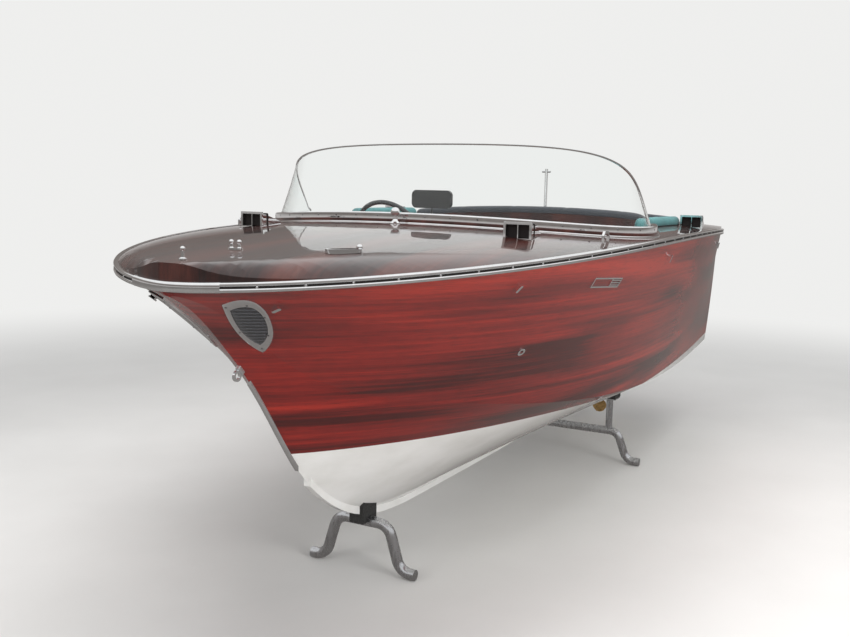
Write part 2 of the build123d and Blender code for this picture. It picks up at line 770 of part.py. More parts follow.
# Small chocks on the side decks
with BuildPart() as side_chocks:
    for side in (1, -1):
        x, y, z = deck_point(1520, side * 925, -SUNK)
        with BuildSketch(Plane(origin=(x, y, z), x_dir=(1, 0, 0), z_dir=(0, -1, 0))):
            with BuildLine() as loop:
                Polyline((-30, 0), (-30, 30), (-18, 44), (18, 44), (30, 30), (30, 0))
                offset(amount=5, side=Side.BOTH)
            make_face()
        extrude(amount=5, both=True)
    add(deck_cut, mode=Mode.SUBTRACT)
save("side_chocks", side_chocks.part)

# Stern pole with a small tee
POLE_AFT = 3215
POLE_TALL = 262
POLE_R = 9
with BuildPart() as stern_pole:
    add(turned(deck_point(POLE_AFT, 0, -SUNK), UP, (0, 0), (24, 0), (24, SUNK + 6), (13, SUNK + 12),
               (POLE_R, SUNK + 30), (POLE_R, SUNK + POLE_TALL), (0, SUNK + POLE_TALL)))
    with BuildSketch(Plane.XZ.offset(-26)):
        with Locations((x_at(POLE_AFT), deck_z(POLE_AFT) + POLE_TALL - 16)):
            Circle(6)
    extrude(amount=52)
    add(deck_cut, mode=Mode.SUBTRACT)
save("stern_pole", stern_pole.part)

# Mirror on a stem behind the windshield
MIRROR_AFT = 1760
MIRROR_TALL = 92
with BuildPart() as mirror_part:
    add(turned(deck_point(MIRROR_AFT, 0, -SUNK), UP, (0, 0), (15, 0), (15, SUNK + 5), (5, SUNK + 9),
               (5, SUNK + MIRROR_TALL), (0, SUNK + MIRROR_TALL)))
    with BuildSketch(Plane(origin=deck_point(MIRROR_AFT, 0, MIRROR_TALL), x_dir=(0, 1, 0), z_dir=(1, 0, 0))):
        RectangleRounded(208, 84, 24)
    extrude(amount=9, both=True)
    add(deck_cut, mode=Mode.SUBTRACT)
save("rear_view_mirror", mirror_part.part)


# Fittings on the hull's side
def side_plane(aft, z, out=0.0):
    """Plane on the port side planking that faces outboard, its Y axis running up."""
    ray = Axis((x_at(aft), WIDE, z), (0, -1, 0))
    hits = [hit for face in hull_form.faces() for hit in face.find_intersection_points(ray)]
    point, normal = max(hits, key=lambda hit: hit[0].Y)
    return Plane(origin=point + normal * out, x_dir=(-1, 0, 0), z_dir=normal)


HOOK_AFTS = (215, 900, 2150, 3700)
HOOK_DROP = 78
with BuildPart() as fender_hooks:
    for aft in HOOK_AFTS:
        face = side_plane(aft, sheer_z(aft) - HOOK_DROP, -SUNK)
        with BuildSketch(face):
            SlotCenterToCenter(16, 12, rotation=90)
        extrude(amount=SUNK + 12)
        with BuildSketch(face.offset(SUNK + 12)):
            SlotCenterToCenter(24, 13, rotation=90)
        extrude(amount=5)
    add(hull_form.part, mode=Mode.SUBTRACT)
    mirror(about=Plane.XZ)
save("fender_hooks", fender_hooks.part)

LOUVRE = (262, 48)
LOUVRE_BARS = 3
with BuildPart() as side_louvres:
    face = side_plane(1500, 1300, -SUNK - 4)
    with BuildSketch(face):
        Rectangle(*LOUVRE)
        Rectangle(LOUVRE[0] - 14, LOUVRE[1] - 14, mode=Mode.SUBTRACT)
        with Locations((LOUVRE[0] / 2 - 48, 0)):
            with GridLocations(0, (LOUVRE[1] - 14) / LOUVRE_BARS, 1, LOUVRE_BARS):
                Rectangle(88, 5)
        with Locations((LOUVRE[0] / 2 - 92, 0)):
            Rectangle(6, LOUVRE[1])
    extrude(amount=SUNK + 9)
    add(hull_form.part, mode=Mode.SUBTRACT)
    mirror(about=Plane.XZ)
save("side_louvres", side_louvres.part)

with BuildPart() as skin_fittings:
    face = side_plane(1220, 1030, -SUNK - 3)
    with BuildSketch(face):
        Circle(18)
        Circle(9, mode=Mode.SUBTRACT)
    extrude(amount=SUNK + 7)
    add(hull_form.part, mode=Mode.SUBTRACT)
    mirror(about=Plane.XZ)
save("skin_fittings", skin_fittings.part)

# D-shaped bow lamps
LAMP_AFT, LAMP_Z = 250, 1196
LAMP_PROUD = 10


def lamp_outline(inset):
    """D outline of a bow lamp: straight along the stem, round aft and below."""
    with BuildSketch(side_plane(LAMP_AFT, LAMP_Z)) as outline:
        with BuildLine():
            Line((-78, 92), (58, 92))
            ThreePointArc((58, 92), (88, 10), (34, -96))
            Line((34, -96), (-78, 92))
        make_face()
        fillet(outline.vertices(), 24)
        if inset:
            offset(amount=-inset)
    return outline.sketch


lamp_normal = side_plane(LAMP_AFT, LAMP_Z).z_dir
with BuildPart() as lamp_skin:
    add(hull_form.part.moved(Location(lamp_normal * LAMP_PROUD)))
    add(hull_form.part, mode=Mode.SUBTRACT)
with BuildPart() as lamp_pane_skin:
    add(hull_form.part.moved(Location(lamp_normal * (LAMP_PROUD - 6))))
    add(hull_form.part, mode=Mode.SUBTRACT)
for name, skin, outer_inset, inner_inset in (
    ("bow_lamp_bezels", lamp_skin, 0, 15),
    ("bow_lamp_glasses", lamp_pane_skin, 15 + SEAM, None),
):
    with BuildPart() as lamp:
        add(lamp_outline(outer_inset))
        extrude(amount=120, both=True)
        if inner_inset:
            add(lamp_outline(inner_inset))
            extrude(amount=120, both=True, mode=Mode.SUBTRACT)
        add(skin.part, mode=Mode.INTERSECT)
        split(bisect_by=Plane.XZ.offset(-3), keep=Keep.BOTTOM)
        mirror(about=Plane.XZ)
    save(name, lamp.part)

# Bow eye in the stem
EYE_AFT = 352
EYE_HOLE_R = 11
EYE_R = 20
EYE_T = 10
stem_z = keel_z(EYE_AFT)
stem_fall = Vector(x_at(430) - x_at(250), 0, keel_z(430) - keel_z(250)).normalized()
stem_out = Vector(-stem_fall.Z, 0, stem_fall.X)
eye_foot = Vector(x_at(EYE_AFT), 0, stem_z)
with BuildPart() as bow_eye:
    with BuildSketch(Plane(origin=(0, -EYE_T / 2, 0), x_dir=(1, 0, 0), z_dir=(0, -1, 0))):
        eye_centre = eye_foot + stem_out * 24
        with Locations((eye_centre.X, eye_centre.Z)):
            Circle(EYE_R)
    extrude(amount=-EYE_T)
    with BuildSketch(Plane(origin=eye_foot - stem_out * 20, x_dir=(0, 1, 0), z_dir=stem_out)):
        SlotCenterToCenter(30, 16, rotation=90)
    extrude(amount=27)
    with BuildSketch(Plane(origin=(0, -30, 0), x_dir=(1, 0, 0), z_dir=(0, -1, 0))):
        with Locations((eye_centre.X, eye_centre.Z)):
            Circle(EYE_HOLE_R)
    extrude(amount=-60, mode=Mode.SUBTRACT)
    add(hull_form.part, mode=Mode.SUBTRACT)
save("bow_eye", bow_eye.part)

# Exhaust outlets in the transom
with BuildPart() as exhaust_outlets:
    for y in (330, -330):
        outlet_x = x_at(LENGTH) + (sheer_z(LENGTH) - EXHAUST_Z) * math.tan(math.radians(TRANSOM_RAKE))
        add(turned((outlet_x + 30, y, EXHAUST_Z), (-1, 0, 0), (24, 0), (30, 0), (30, 52), (24, 52)))
    add(closed_hull.part, mode=Mode.SUBTRACT)
save("exhaust_outlets", exhaust_outlets.part)

# Steering gear: a fixed column and a wheel that turns in it
column_up = Vector(-math.cos(math.radians(WHEEL_RAKE)), 0, math.sin(math.radians(WHEEL_RAKE)))
wheel_centre = Vector(x_at(WHEEL_AFT), WHEEL_Y, WHEEL_Z)
wheel_plane = Plane(origin=wheel_centre, x_dir=(0, 1, 0), z_dir=column_up)
column_foot = (x_at(COCKPIT_FRONT) - wheel_centre.X) / column_up.X
with BuildPart() as steering_column:
    add(turned(wheel_centre, column_up, (WHEEL_SHAFT_R + BEARING_GAP, column_foot - 30), (COLUMN_R, column_foot - 30),
               (COLUMN_R, -WHEEL_DISH - 26), (WHEEL_SHAFT_R + BEARING_GAP, -WHEEL_DISH - 26)))
    foot_point = wheel_centre + column_up * column_foot
    with BuildSketch(Plane(origin=foot_point, x_dir=(0, 1, 0), z_dir=(-1, 0, 0))):
        RectangleRounded(84, 104, 14)
        Circle(COLUMN_R - 2, mode=Mode.SUBTRACT)
    extrude(amount=9)
    split(bisect_by=Plane(origin=foot_point, z_dir=(1, 0, 0)), keep=Keep.BOTTOM)
save("steering_column", steering_column.part)

with BuildPart() as steering_wheel:
    with BuildSketch(Plane(origin=wheel_centre, x_dir=wheel_plane.x_dir, z_dir=wheel_plane.y_dir)):
        with Locations((WHEEL_R - WHEEL_RIM_R, 0)):
            Circle(WHEEL_RIM_R)
    revolve(axis=Axis(wheel_centre, column_up))
    add(turned(wheel_centre, column_up, (0, -WHEEL_DISH - 90), (WHEEL_SHAFT_R, -WHEEL_DISH - 90),
               (WHEEL_SHAFT_R, -WHEEL_DISH - 16), (32, -WHEEL_DISH - 16), (32, -WHEEL_DISH + 6),
               (20, -WHEEL_DISH + 14), (0, -WHEEL_DISH + 14)))
    for spoke in range(WHEEL_SPOKES):
        angle = math.radians(90 + spoke * 360 / WHEEL_SPOKES)
        out = wheel_plane.x_dir * math.cos(angle) + wheel_plane.y_dir * math.sin(angle)
        with BuildSketch(Plane(origin=wheel_centre, x_dir=out, z_dir=out.cross(column_up))):
            Polygon((22, -WHEEL_DISH - 4), (22, -WHEEL_DISH + 4), (WHEEL_R - 12, 3), (WHEEL_R - 12, -4), align=None)
        extrude(amount=11, both=True)
save("steering_wheel", steering_wheel.part)

GAUGE_R = 40
with BuildPart() as gauges:
    with BuildSketch(Plane(origin=(x_at(COCKPIT_FRONT), 0, dash_z - 70), x_dir=(0, 1, 0), z_dir=(-1, 0, 0))):
        with GridLocations(105, 0, 4, 1):
            Circle(GAUGE_R)
    extrude(amount=9)
    chamfer(gauges.edges().group_by(Axis.X)[0], 3)
save("gauges", gauges.part)

# Engine, one plain block with the gearbox that takes the shaft
with BuildPart() as engine:
    long, wide, tall = ENGINE_SIZE
    with Locations((x_at(ENGINE_AFT), 0, BEARER_TOP + tall / 2)):
        Box(long, wide, tall)
    gearbox_top = BEARER_TOP + 40
    gearbox_low = shaft_point(SHAFT_FRONT).Z - 48
    with Locations((x_at(SHAFT_FRONT + 15), 0, (gearbox_top + gearbox_low) / 2)):
        Box(90, 150, gearbox_top - gearbox_low)
    add(shaft_run(SHAFT_FRONT - 8, SHAFT_FRONT + 200, SHAFT_R + BEARING_GAP), mode=Mode.SUBTRACT)
    add(fit_form, mode=Mode.INTERSECT)
save("engine", engine.part)

# Shaft, its tube through the bottom, and the bracket ahead of the propeller
with BuildPart() as propeller_shaft:
    add(shaft_run(SHAFT_FRONT, PROP_AFT + 62, SHAFT_R))
save("propeller_shaft", propeller_shaft.part)

with BuildPart() as shaft_tube:
    add(shaft_run(*LOG_RUN, LOG_R))
    add(shaft_run(LOG_RUN[0] - 20, LOG_RUN[1] + 20, SHAFT_R + BEARING_GAP), mode=Mode.SUBTRACT)
save("shaft_tube", shaft_tube.part)

with BuildPart() as shaft_strut:
    barrel = shaft_point(STRUT_AFT)
    with Locations((barrel.X, 0, barrel.Z + 130)):
        Box(62, STRUT_T, 260)
    with BuildSketch(Plane.XY.offset(barrel.Z + 60)):
        with Locations((barrel.X, 0)):
            RectangleRounded(150, 78, 18)
    extrude(amount=200)
    add(hull_form.part.moved(Location((0, 0, -7))), mode=Mode.INTERSECT)
    with Locations((barrel.X, 0, barrel.Z + 80)):
        Box(62, STRUT_T, 160)
    add(shaft_run(STRUT_AFT - 38, STRUT_AFT + 38, 25))
    add(hull_form.part, mode=Mode.SUBTRACT)
    add(shaft_run(STRUT_AFT - 80, STRUT_AFT + 80, SHAFT_R + BEARING_GAP), mode=Mode.SUBTRACT)
save("shaft_strut", shaft_strut.part)

# Propeller: each blade is a loft of lens sections, twisted by the pitch
BLADE_SECTIONS = (     # radius, chord, thickness
    (20, 46, 9),
    (45, 74, 8),
    (78, 92, 6),
    (105, 78, 4),
    (PROP_R, 26, 2.5),
)
shaft_up = Vector(0, 1, 0).cross(shaft_out)
with BuildPart() as propeller:
    add(turned(prop_centre, shaft_out, (SHAFT_R + SEAM, -PROP_HUB_L / 2), (PROP_HUB_R, -PROP_HUB_L / 2),
               (PROP_HUB_R, PROP_HUB_L / 2 - 8), (PROP_HUB_R - 6, PROP_HUB_L / 2),
               (SHAFT_R + SEAM, PROP_HUB_L / 2)))
    for blade in range(PROP_BLADES):
        angle = math.radians(90 + blade * 360 / PROP_BLADES)
        outward = Vector(0, 1, 0) * math.cos(angle) + shaft_up * math.sin(angle)
        around = outward.cross(shaft_out)
        for radius, chord, thick in BLADE_SECTIONS:
            twist = math.atan(PROP_PITCH / (2 * math.pi * radius))
            along_chord = around * math.cos(twist) + shaft_out * math.sin(twist)
            with BuildSketch(Plane(origin=prop_centre + outward * radius, x_dir=along_chord, z_dir=outward)):
                with BuildLine():
                    ThreePointArc((-chord / 2, 0), (0, thick / 2), (chord / 2, 0))
                    ThreePointArc((chord / 2, 0), (0, -thick / 2), (-chord / 2, 0))
                make_face()
        loft()
save("propeller", propeller.part)

with BuildPart() as propeller_nut:
    nut_start = prop_centre + shaft_out * (PROP_HUB_L / 2 + SEAM)
    with BuildSketch(Plane(origin=nut_start, x_dir=(0, 1, 0), z_dir=shaft_out)):
        RegularPolygon(19, 6)
        Circle(SHAFT_R + SEAM, mode=Mode.SUBTRACT)
    extrude(amount=18)
save("propeller_nut", propeller_nut.part)

# Rudder with its stock and a short tiller arm
with BuildPart() as rudder:
    with BuildSketch(Plane.XY.offset(RUDDER_BLADE[0])):
        with BuildLine():
            nose = (x_at(RUDDER_AFT) + RUDDER_FORE, 0)
            tail = (x_at(RUDDER_AFT) - RUDDER_BACK, 0)
            ThreePointArc(nose, (x_at(RUDDER_AFT), RUDDER_T / 2), tail)
            ThreePointArc(tail, (x_at(RUDDER_AFT), -RUDDER_T / 2), nose)
        make_face()
    extrude(amount=RUDDER_BLADE[1] - RUDDER_BLADE[0])
    add(rudder_run(RUDDER_BLADE[0] + 60, STOCK_TOP, STOCK_R))
    with Locations((x_at(RUDDER_AFT) + 55, 0, STOCK_TOP - 9)):
        Box(130, 30, 10)
save("rudder", rudder.part)

with BuildPart() as rudder_tube:
    add(rudder_run(*RUDDER_PORT, RUDDER_PORT_R))
    add(rudder_run(RUDDER_PORT[0] - 5, RUDDER_PORT[1] + 5, STOCK_R + BEARING_GAP), mode=Mode.SUBTRACT)
save("rudder_tube", rudder_tube.part)

# Hatch hinges: fixed outer knuckles and leaves, moving middle knuckles, leaves and pins
HINGE_Y = 300
HINGE_LEAF = 46
HINGE_LEAF_T = 3
KNUCKLE = 20           # half length of the middle knuckle
KNUCKLE_END = 42       # half length of the whole hinge
PIN_R = 3


def hinge_barrel(y, spans, bore):
    """Knuckles along the hinge's axis, each between two distances from its middle."""
    x, _, z = hinge_axis_point
    with BuildPart() as barrel:
        for first, last in spans:
            with BuildSketch(Plane(origin=(x, y + first, z), x_dir=(1, 0, 0), z_dir=(0, 1, 0))):
                Circle(HINGE_R)
                if bore:
                    Circle(PIN_R + BEARING_GAP, mode=Mode.SUBTRACT)
            extrude(amount=last - first)
    return barrel.part


hinge_axis_point = (x_at(HATCH_END), 0, deck_z(HATCH_END, HINGE_Y) + HINGE_R + 2)
leaf_layer = deck_layer(SEAM, HINGE_LEAF_T)


def hinge_half(spans, leaf_side, leaf_gap, bore):
    """Port and starboard halves of one kind: knuckles with their leaf on the deck or the lid."""
    x, _, z = hinge_axis_point
    with BuildPart() as half:
        for y in (HINGE_Y, -HINGE_Y):
            for first, last in spans:
                with Locations((x + leaf_side * (leaf_gap + HINGE_LEAF / 2), y + (first + last) / 2, z)):
                    Box(HINGE_LEAF, last - first, 60)
        add(leaf_layer, mode=Mode.INTERSECT)
        for y in (HINGE_Y, -HINGE_Y):
            for first, last in spans:
                with Locations((x + leaf_side * (leaf_gap + 6) / 2, y + (first + last) / 2, z - 7)):
                    Box(leaf_gap + 6, last - first, 6)
            add(hinge_barrel(y, spans, bore))
        add(deck_cut, mode=Mode.SUBTRACT)
    return half.part


save("hatch_hinges", hinge_half(((-KNUCKLE_END, -KNUCKLE - 1), (KNUCKLE + 1, KNUCKLE_END)), -1, 3, True))
with BuildPart() as hinge_leaves:
    add(hinge_half(((-KNUCKLE, KNUCKLE),), 1, HATCH_GAP + 2, False))
    for y in (HINGE_Y, -HINGE_Y):
        with BuildSketch(Plane(origin=(hinge_axis_point[0], y - KNUCKLE_END, hinge_axis_point[2]), x_dir=(1, 0, 0),
                               z_dir=(0, 1, 0))):
            Circle(PIN_R)
        extrude(amount=2 * KNUCKLE_END)
save("hatch_hinge_leaves", hinge_leaves.part)


# Stand: two trestles of bent tube with pads under the hull
def bent_tube(aft, points):
    """Round tube along a bent line across the boat, its points as (y, z)."""
    with BuildPart() as tube:
        with BuildLine(station_plane(aft)) as run:
            Polyline(*points)
            fillet(run.vertices().sort_by(Axis.Y)[1:-1], TUBE_BEND)
        with BuildSketch(Plane(origin=run.line @ 0, z_dir=run.line % 0)):
            Circle(TUBE_R)
        sweep()
    return tube.part


def trestle_line(beam_z, feet):
    top, floor, tip = feet
    half = [(tip, TUBE_R), (floor, TUBE_R), (top, beam_z)]
    return half + [(-y, z) for y, z in reversed(half)]


STRIP_H = 16
beams = {}
for name, aft, feet, arm in (
    ("bow_trestle", BOW_TRESTLE_AFT, BOW_FEET, False),
    ("stern_trestle", STERN_TRESTLE_AFT, STERN_FEET, True),
):
    beam_z = keel_z(aft) - STRIP_H - BLOCK_H - TUBE_R
    beams[aft] = beam_z
    with BuildPart() as trestle:
        add(bent_tube(aft, trestle_line(beam_z, feet)))
        if arm:
            for y in (STERN_ARM_Y, -STERN_ARM_Y):
                with BuildSketch(Plane.XY.offset(beam_z)):
                    with Locations((x_at(aft), y)):
                        Circle(20)
                extrude(amount=ARM_TOP - beam_z)
                with BuildSketch(Plane.XY.offset(ARM_TOP)):
                    with Locations((x_at(aft), y)):
                        RectangleRounded(BLOCK_W, 96, 12)
                extrude(amount=6)
    save(name, trestle.part)

with BuildPart() as stand_pads:
    for aft, beam_z in beams.items():
        with BuildSketch(Plane.XY.offset(beam_z)):
            with Locations((x_at(aft), 0)):
                Rectangle(BLOCK_W, 70)
        extrude(amount=110)
    for y in (STERN_ARM_Y, -STERN_ARM_Y):
        with BuildSketch(Plane.XY.offset(ARM_TOP + 6)):
            with Locations((x_at(STERN_TRESTLE_AFT), y)):
                Rectangle(BLOCK_W, 96)
        extrude(amount=140)
    for aft, beam_z in beams.items():
        with BuildSketch(Plane.XZ.offset(-200)):
            with Locations((x_at(aft), beam_z)):
                Circle(TUBE_R + SEAM)
        extrude(amount=400, mode=Mode.SUBTRACT)
    add(hull_form.part, mode=Mode.SUBTRACT)
    add(keel_strip, mode=Mode.SUBTRACT)
save("stand_pads", stand_pads.part)
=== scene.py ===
# %% [markdown]
# # Dressing a varnished runabout
# The solids of this boat come from a CAD frame: hull planking, decks, chrome castings, running gear
# and the stand. The script gives each of them a finish made of shader nodes, and adds what solids
# describe badly: stuffed upholstery, screws, instrument dials. Some solids don't have the form of the
# real boat (the rail, the windshield, the bow lamps and the foredeck's edge), and each of those is
# replaced by a piece made here.

import math

import bmesh
import bpy
from mathutils import Matrix, Vector
from mathutils.bvhtree import BVHTree


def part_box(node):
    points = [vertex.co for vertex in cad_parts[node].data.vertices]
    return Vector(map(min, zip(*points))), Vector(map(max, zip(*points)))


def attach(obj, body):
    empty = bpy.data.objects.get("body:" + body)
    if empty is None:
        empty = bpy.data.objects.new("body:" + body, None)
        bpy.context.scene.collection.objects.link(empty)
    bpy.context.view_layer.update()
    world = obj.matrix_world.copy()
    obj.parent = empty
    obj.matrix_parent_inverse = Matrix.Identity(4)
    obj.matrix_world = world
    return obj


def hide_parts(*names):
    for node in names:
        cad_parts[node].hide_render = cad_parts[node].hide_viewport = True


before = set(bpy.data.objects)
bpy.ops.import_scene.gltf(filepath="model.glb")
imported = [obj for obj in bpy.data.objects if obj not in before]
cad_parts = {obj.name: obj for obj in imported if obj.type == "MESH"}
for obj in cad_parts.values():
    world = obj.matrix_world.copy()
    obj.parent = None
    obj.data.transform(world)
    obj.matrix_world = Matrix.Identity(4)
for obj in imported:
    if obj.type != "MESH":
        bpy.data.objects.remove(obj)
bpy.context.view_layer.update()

# %% [markdown]
# ## The camera
# The photograph was taken from ahead and to port of the bow, at standing eye height. The lens, the tilt
# and the roll were worked out from its straight lines. A camera can be aimed with a track constraint,
# but a matrix of its right, up and backward directions also holds the small roll, so that is used.

# %% Place the camera
EYE = Vector((4.671, 2.135, 1.672))
HEADING = Vector((-0.881, -0.472, 0)).normalized()
TILT = 0.137
ROLL = 0.021
FOCAL_PX = 965
PHOTO_PX = (850, 637)
SENSOR_WIDTH = 36


def camera_axes():
    """Right, up and forward directions of the camera that took the photograph."""
    forward = HEADING * math.cos(TILT) + Vector((0, 0, -math.sin(TILT)))
    right = forward.cross(Vector((0, 0, 1))).normalized()
    up = right.cross(forward)
    rolled_right = right * math.cos(ROLL) + up * math.sin(ROLL)
    rolled_up = up * math.cos(ROLL) - right * math.sin(ROLL)
    return rolled_right, rolled_up, forward


def aim_camera():
    """Make the camera that sees the boat as the photograph does."""
    right, up, forward = camera_axes()
    lens = bpy.data.cameras.new("photo_camera")
    lens.sensor_width = SENSOR_WIDTH
    lens.lens = lens.sensor_width * FOCAL_PX / PHOTO_PX[0]
    camera = bpy.data.objects.new("photo_camera", lens)
    bpy.context.collection.objects.link(camera)
    camera.matrix_world = Matrix.Translation(EYE) @ Matrix((right, up, -forward)).transposed().to_4x4()
    bpy.context.scene.camera = camera
    return camera


photo_camera = aim_camera()
print("lens", round(photo_camera.data.lens, 2), "mm")

# %% [markdown]
# ## Shader helpers
# Every finish below is a small net of nodes. Wiring them one by one is long to read, so one helper
# adds a node, sets its inputs, and takes either a value or another node's socket for each.

# %% Node helpers


def add_node(tree, kind, inputs=None, **settings):
    """Add a shader node; inputs are values or sockets, settings are the node's own options."""
    node = tree.nodes.new("ShaderNode" + kind)
    for name, value in settings.items():
        setattr(node, name, value)
    for name, value in (inputs or {}).items():
        if isinstance(value, bpy.types.NodeSocket):
            tree.links.new(value, node.inputs[name])
        else:
            node.inputs[name].default_value = value
    return node


def new_finish(name, **sockets):
    """Start a material; sockets are set straight on its Principled shader."""
    material = bpy.data.materials.new(name)
    material.use_nodes = True
    tree = material.node_tree
    shader = tree.nodes["Principled BSDF"]
    for socket, value in sockets.items():
        shader.inputs[socket.replace("_", " ")].default_value = value
    return material, tree, shader


def place(tree, scale):
    """Coordinates of the piece itself, in metres, stretched by a scale."""
    here = add_node(tree, "TexCoord").outputs["Object"]
    return add_node(tree, "Mapping", {"Vector": here, "Scale": scale}).outputs["Vector"]


def ramp(tree, factor, *stops):
    """Colours along a factor, each stop a position and a colour."""
    node = add_node(tree, "ValToRGB", {"Fac": factor})
    band = node.color_ramp
    while len(band.elements) < len(stops):
        band.elements.new(0.5)
    for element, (position, colour) in zip(band.elements, stops):
        element.position = position
        element.color = (*colour, 1)
    return node.outputs["Color"]


def grey_ramp(tree, factor, *stops):
    """The same for a plain number."""
    return ramp(tree, factor, *((position, (value,) * 3) for position, value in stops))


def bumps(tree, shader, height, strength, distance):
    """Drive the shader's normal from a height."""
    bump = add_node(tree, "Bump", {"Height": height, "Strength": strength, "Distance": distance})
    tree.links.new(bump.outputs["Normal"], shader.inputs["Normal"])


def blend_colours(tree, factor, first, second, mode="MIX"):
    """Mix two colours by a factor. The node keeps its colours in inputs 6 and 7 and in output 2."""
    mix = add_node(tree, "Mix", {0: factor, 6: first, 7: second}, data_type="RGBA", blend_type=mode)
    return mix.outputs[2]


def worked(tree, operation, *values):
    """Result of one sum, product or comparison; each value is a number or a socket."""
    return add_node(tree, "Math", dict(enumerate(values)), operation=operation).outputs[0]


def sum_of(tree, *terms):
    """Weighted sum of sockets, each term a socket and its weight."""
    total = 0.0
    for socket, weight in terms:
        total = worked(tree, "MULTIPLY_ADD", socket, weight, total)
    return total


def height_of(tree, vector):
    """The Z of a vector."""
    return add_node(tree, "SeparateXYZ", {0: vector}).outputs["Z"]


def noise_of(tree, scale, detail, **more):
    """Factor of a noise in the piece's own coordinates, stretched by a scale."""
    inputs = {"Vector": place(tree, scale), "Scale": 1.0, "Detail": detail, **more}
    return add_node(tree, "TexNoise", inputs).outputs["Fac"]


print("node helpers ready for", bpy.app.version_string)

# %% [markdown]
# ## Varnished mahogany
# Ribbon-stripe mahogany shows long soft bands along the plank, a finer streak inside them, and short
# dark pores. Three noises stretched along the plank give the three scales. The varnish is a clear
# coat over the wood, so the wood's own roughness stays high and the coat does the shining. The
# topsides are a warmer red than the stained deck, and the bottom is painted white up to a line that
# rises a little towards the stern.

# %% Wood finishes
VARNISH_COAT = 1.0
VARNISH_ROUGHNESS = 0.02
WOOD_ROUGHNESS = 0.42
WATERLINE_Z = 0.645
WATERLINE_RISE = 0.009   # each metre aft
WATERLINE_FROM_X = 2
LOOKS_UP = 0.25
PAINT_TONES = ((0.74, 0.73, 0.70), (0.84, 0.83, 0.81))
RED_WOOD = ((0.060, 0.0016, 0.0010), (0.205, 0.0052, 0.0024), (0.42, 0.019, 0.006))
DECK_WOOD = ((0.014, 0.0035, 0.003), (0.036, 0.0075, 0.0055), (0.075, 0.016, 0.010))
INSIDE_WOOD = ((0.07, 0.016, 0.008), (0.14, 0.036, 0.016), (0.24, 0.075, 0.034))


def wood_figure(tree, bands, streaks, palette):
    """Broad ribbons with fine streaks in them, coloured by three tones."""
    wide = noise_of(tree, bands, 2.5, Roughness=0.45, Distortion=0.7)
    thin = noise_of(tree, streaks, 5.0, Roughness=0.6, Distortion=0.25)
    both = sum_of(tree, (wide, 0.72), (thin, 0.28))
    dark, middle, light = palette
    return ramp(tree, both, (0.38, dark), (0.49, middle), (0.63, light))


def waterline_mask(tree):
    """1 above the painted bottom and on faces that look up from inside the hull, 0 on the paint."""
    here = add_node(tree, "SeparateXYZ", {0: add_node(tree, "TexCoord").outputs["Object"]})
    height = sum_of(tree, (here.outputs["Z"], 1.0), (here.outputs["X"], WATERLINE_RISE))
    level = WATERLINE_Z + WATERLINE_FROM_X * WATERLINE_RISE
    above = worked(tree, "GREATER_THAN", height, level)
    facing = height_of(tree, add_node(tree, "NewGeometry").outputs["Normal"])
    inside = worked(tree, "GREATER_THAN", facing, LOOKS_UP)
    return worked(tree, "MAXIMUM", above, inside)


def mahogany(name, bands, streaks, pores, palette, painted_below=False):
    """Varnished wood; bands, streaks and pores are noise scales along X, Y and Z."""
    material, tree, shader = new_finish(name, Roughness=WOOD_ROUGHNESS, Coat_Weight=VARNISH_COAT,
                                        Coat_Roughness=VARNISH_ROUGHNESS, IOR=1.5)
    colour = wood_figure(tree, bands, streaks, palette)
    pore = noise_of(tree, pores, 2.0)
    specks = grey_ramp(tree, pore, (0.36, 0.6), (0.46, 1.0))
    colour = blend_colours(tree, 1.0, colour, specks, "MULTIPLY")
    bumps(tree, shader, pore, 0.04, 0.0004)
    if painted_below:
        paint = ramp(tree, noise_of(tree, (4, 4, 9), 6.0), (0.3, PAINT_TONES[0]), (0.6, PAINT_TONES[1]))
        colour = blend_colours(tree, waterline_mask(tree), paint, colour)
    tree.links.new(colour, shader.inputs["Base Color"])
    return material


topside_wood = mahogany("topside_mahogany", (0.55, 0.4, 6.5), (1.4, 1.4, 85), (14, 14, 800), RED_WOOD,
                        painted_below=True)
deck_wood = mahogany("deck_mahogany_varnish", (0.6, 7, 2), (1.5, 90, 4), (12, 700, 30), DECK_WOOD)
panel_wood = mahogany("panel_mahogany", (2, 0.8, 7), (8, 1.5, 90), (60, 12, 700), DECK_WOOD)
inside_wood = mahogany("cockpit_wood", (1, 8, 4), (2, 70, 20), (15, 500, 90), INSIDE_WOOD)
print("wood finishes", topside_wood.name, deck_wood.name, panel_wood.name, inside_wood.name)

# %% [markdown]
# ## Metals
# Polished chrome is nearly a mirror, but fingermarks and polishing leave faint cloudy patches in its
# roughness. Bronze below the water is cast, so it has a grain and darker hollows. The stand's tube is
# bright drawn steel with fine lines along it.

# %% Metal finishes


def metal(name, colour, rough, cloud_scale, cloud, bump=0.0):
    """Bare metal whose roughness clouds between two levels."""
    material, tree, shader = new_finish(name, Metallic=1.0)
    clouds = noise_of(tree, cloud_scale, 4.0)
    tone = ramp(tree, clouds, (0.3, tuple(c * (1 - cloud) for c in colour)), (0.65, colour))
    level = grey_ramp(tree, clouds, (0.3, rough), (0.7, rough * 2.4))
    tree.links.new(tone, shader.inputs["Base Color"])
    tree.links.new(level, shader.inputs["Roughness"])
    if bump:
        bumps(tree, shader, clouds, bump, 0.001)
    return material


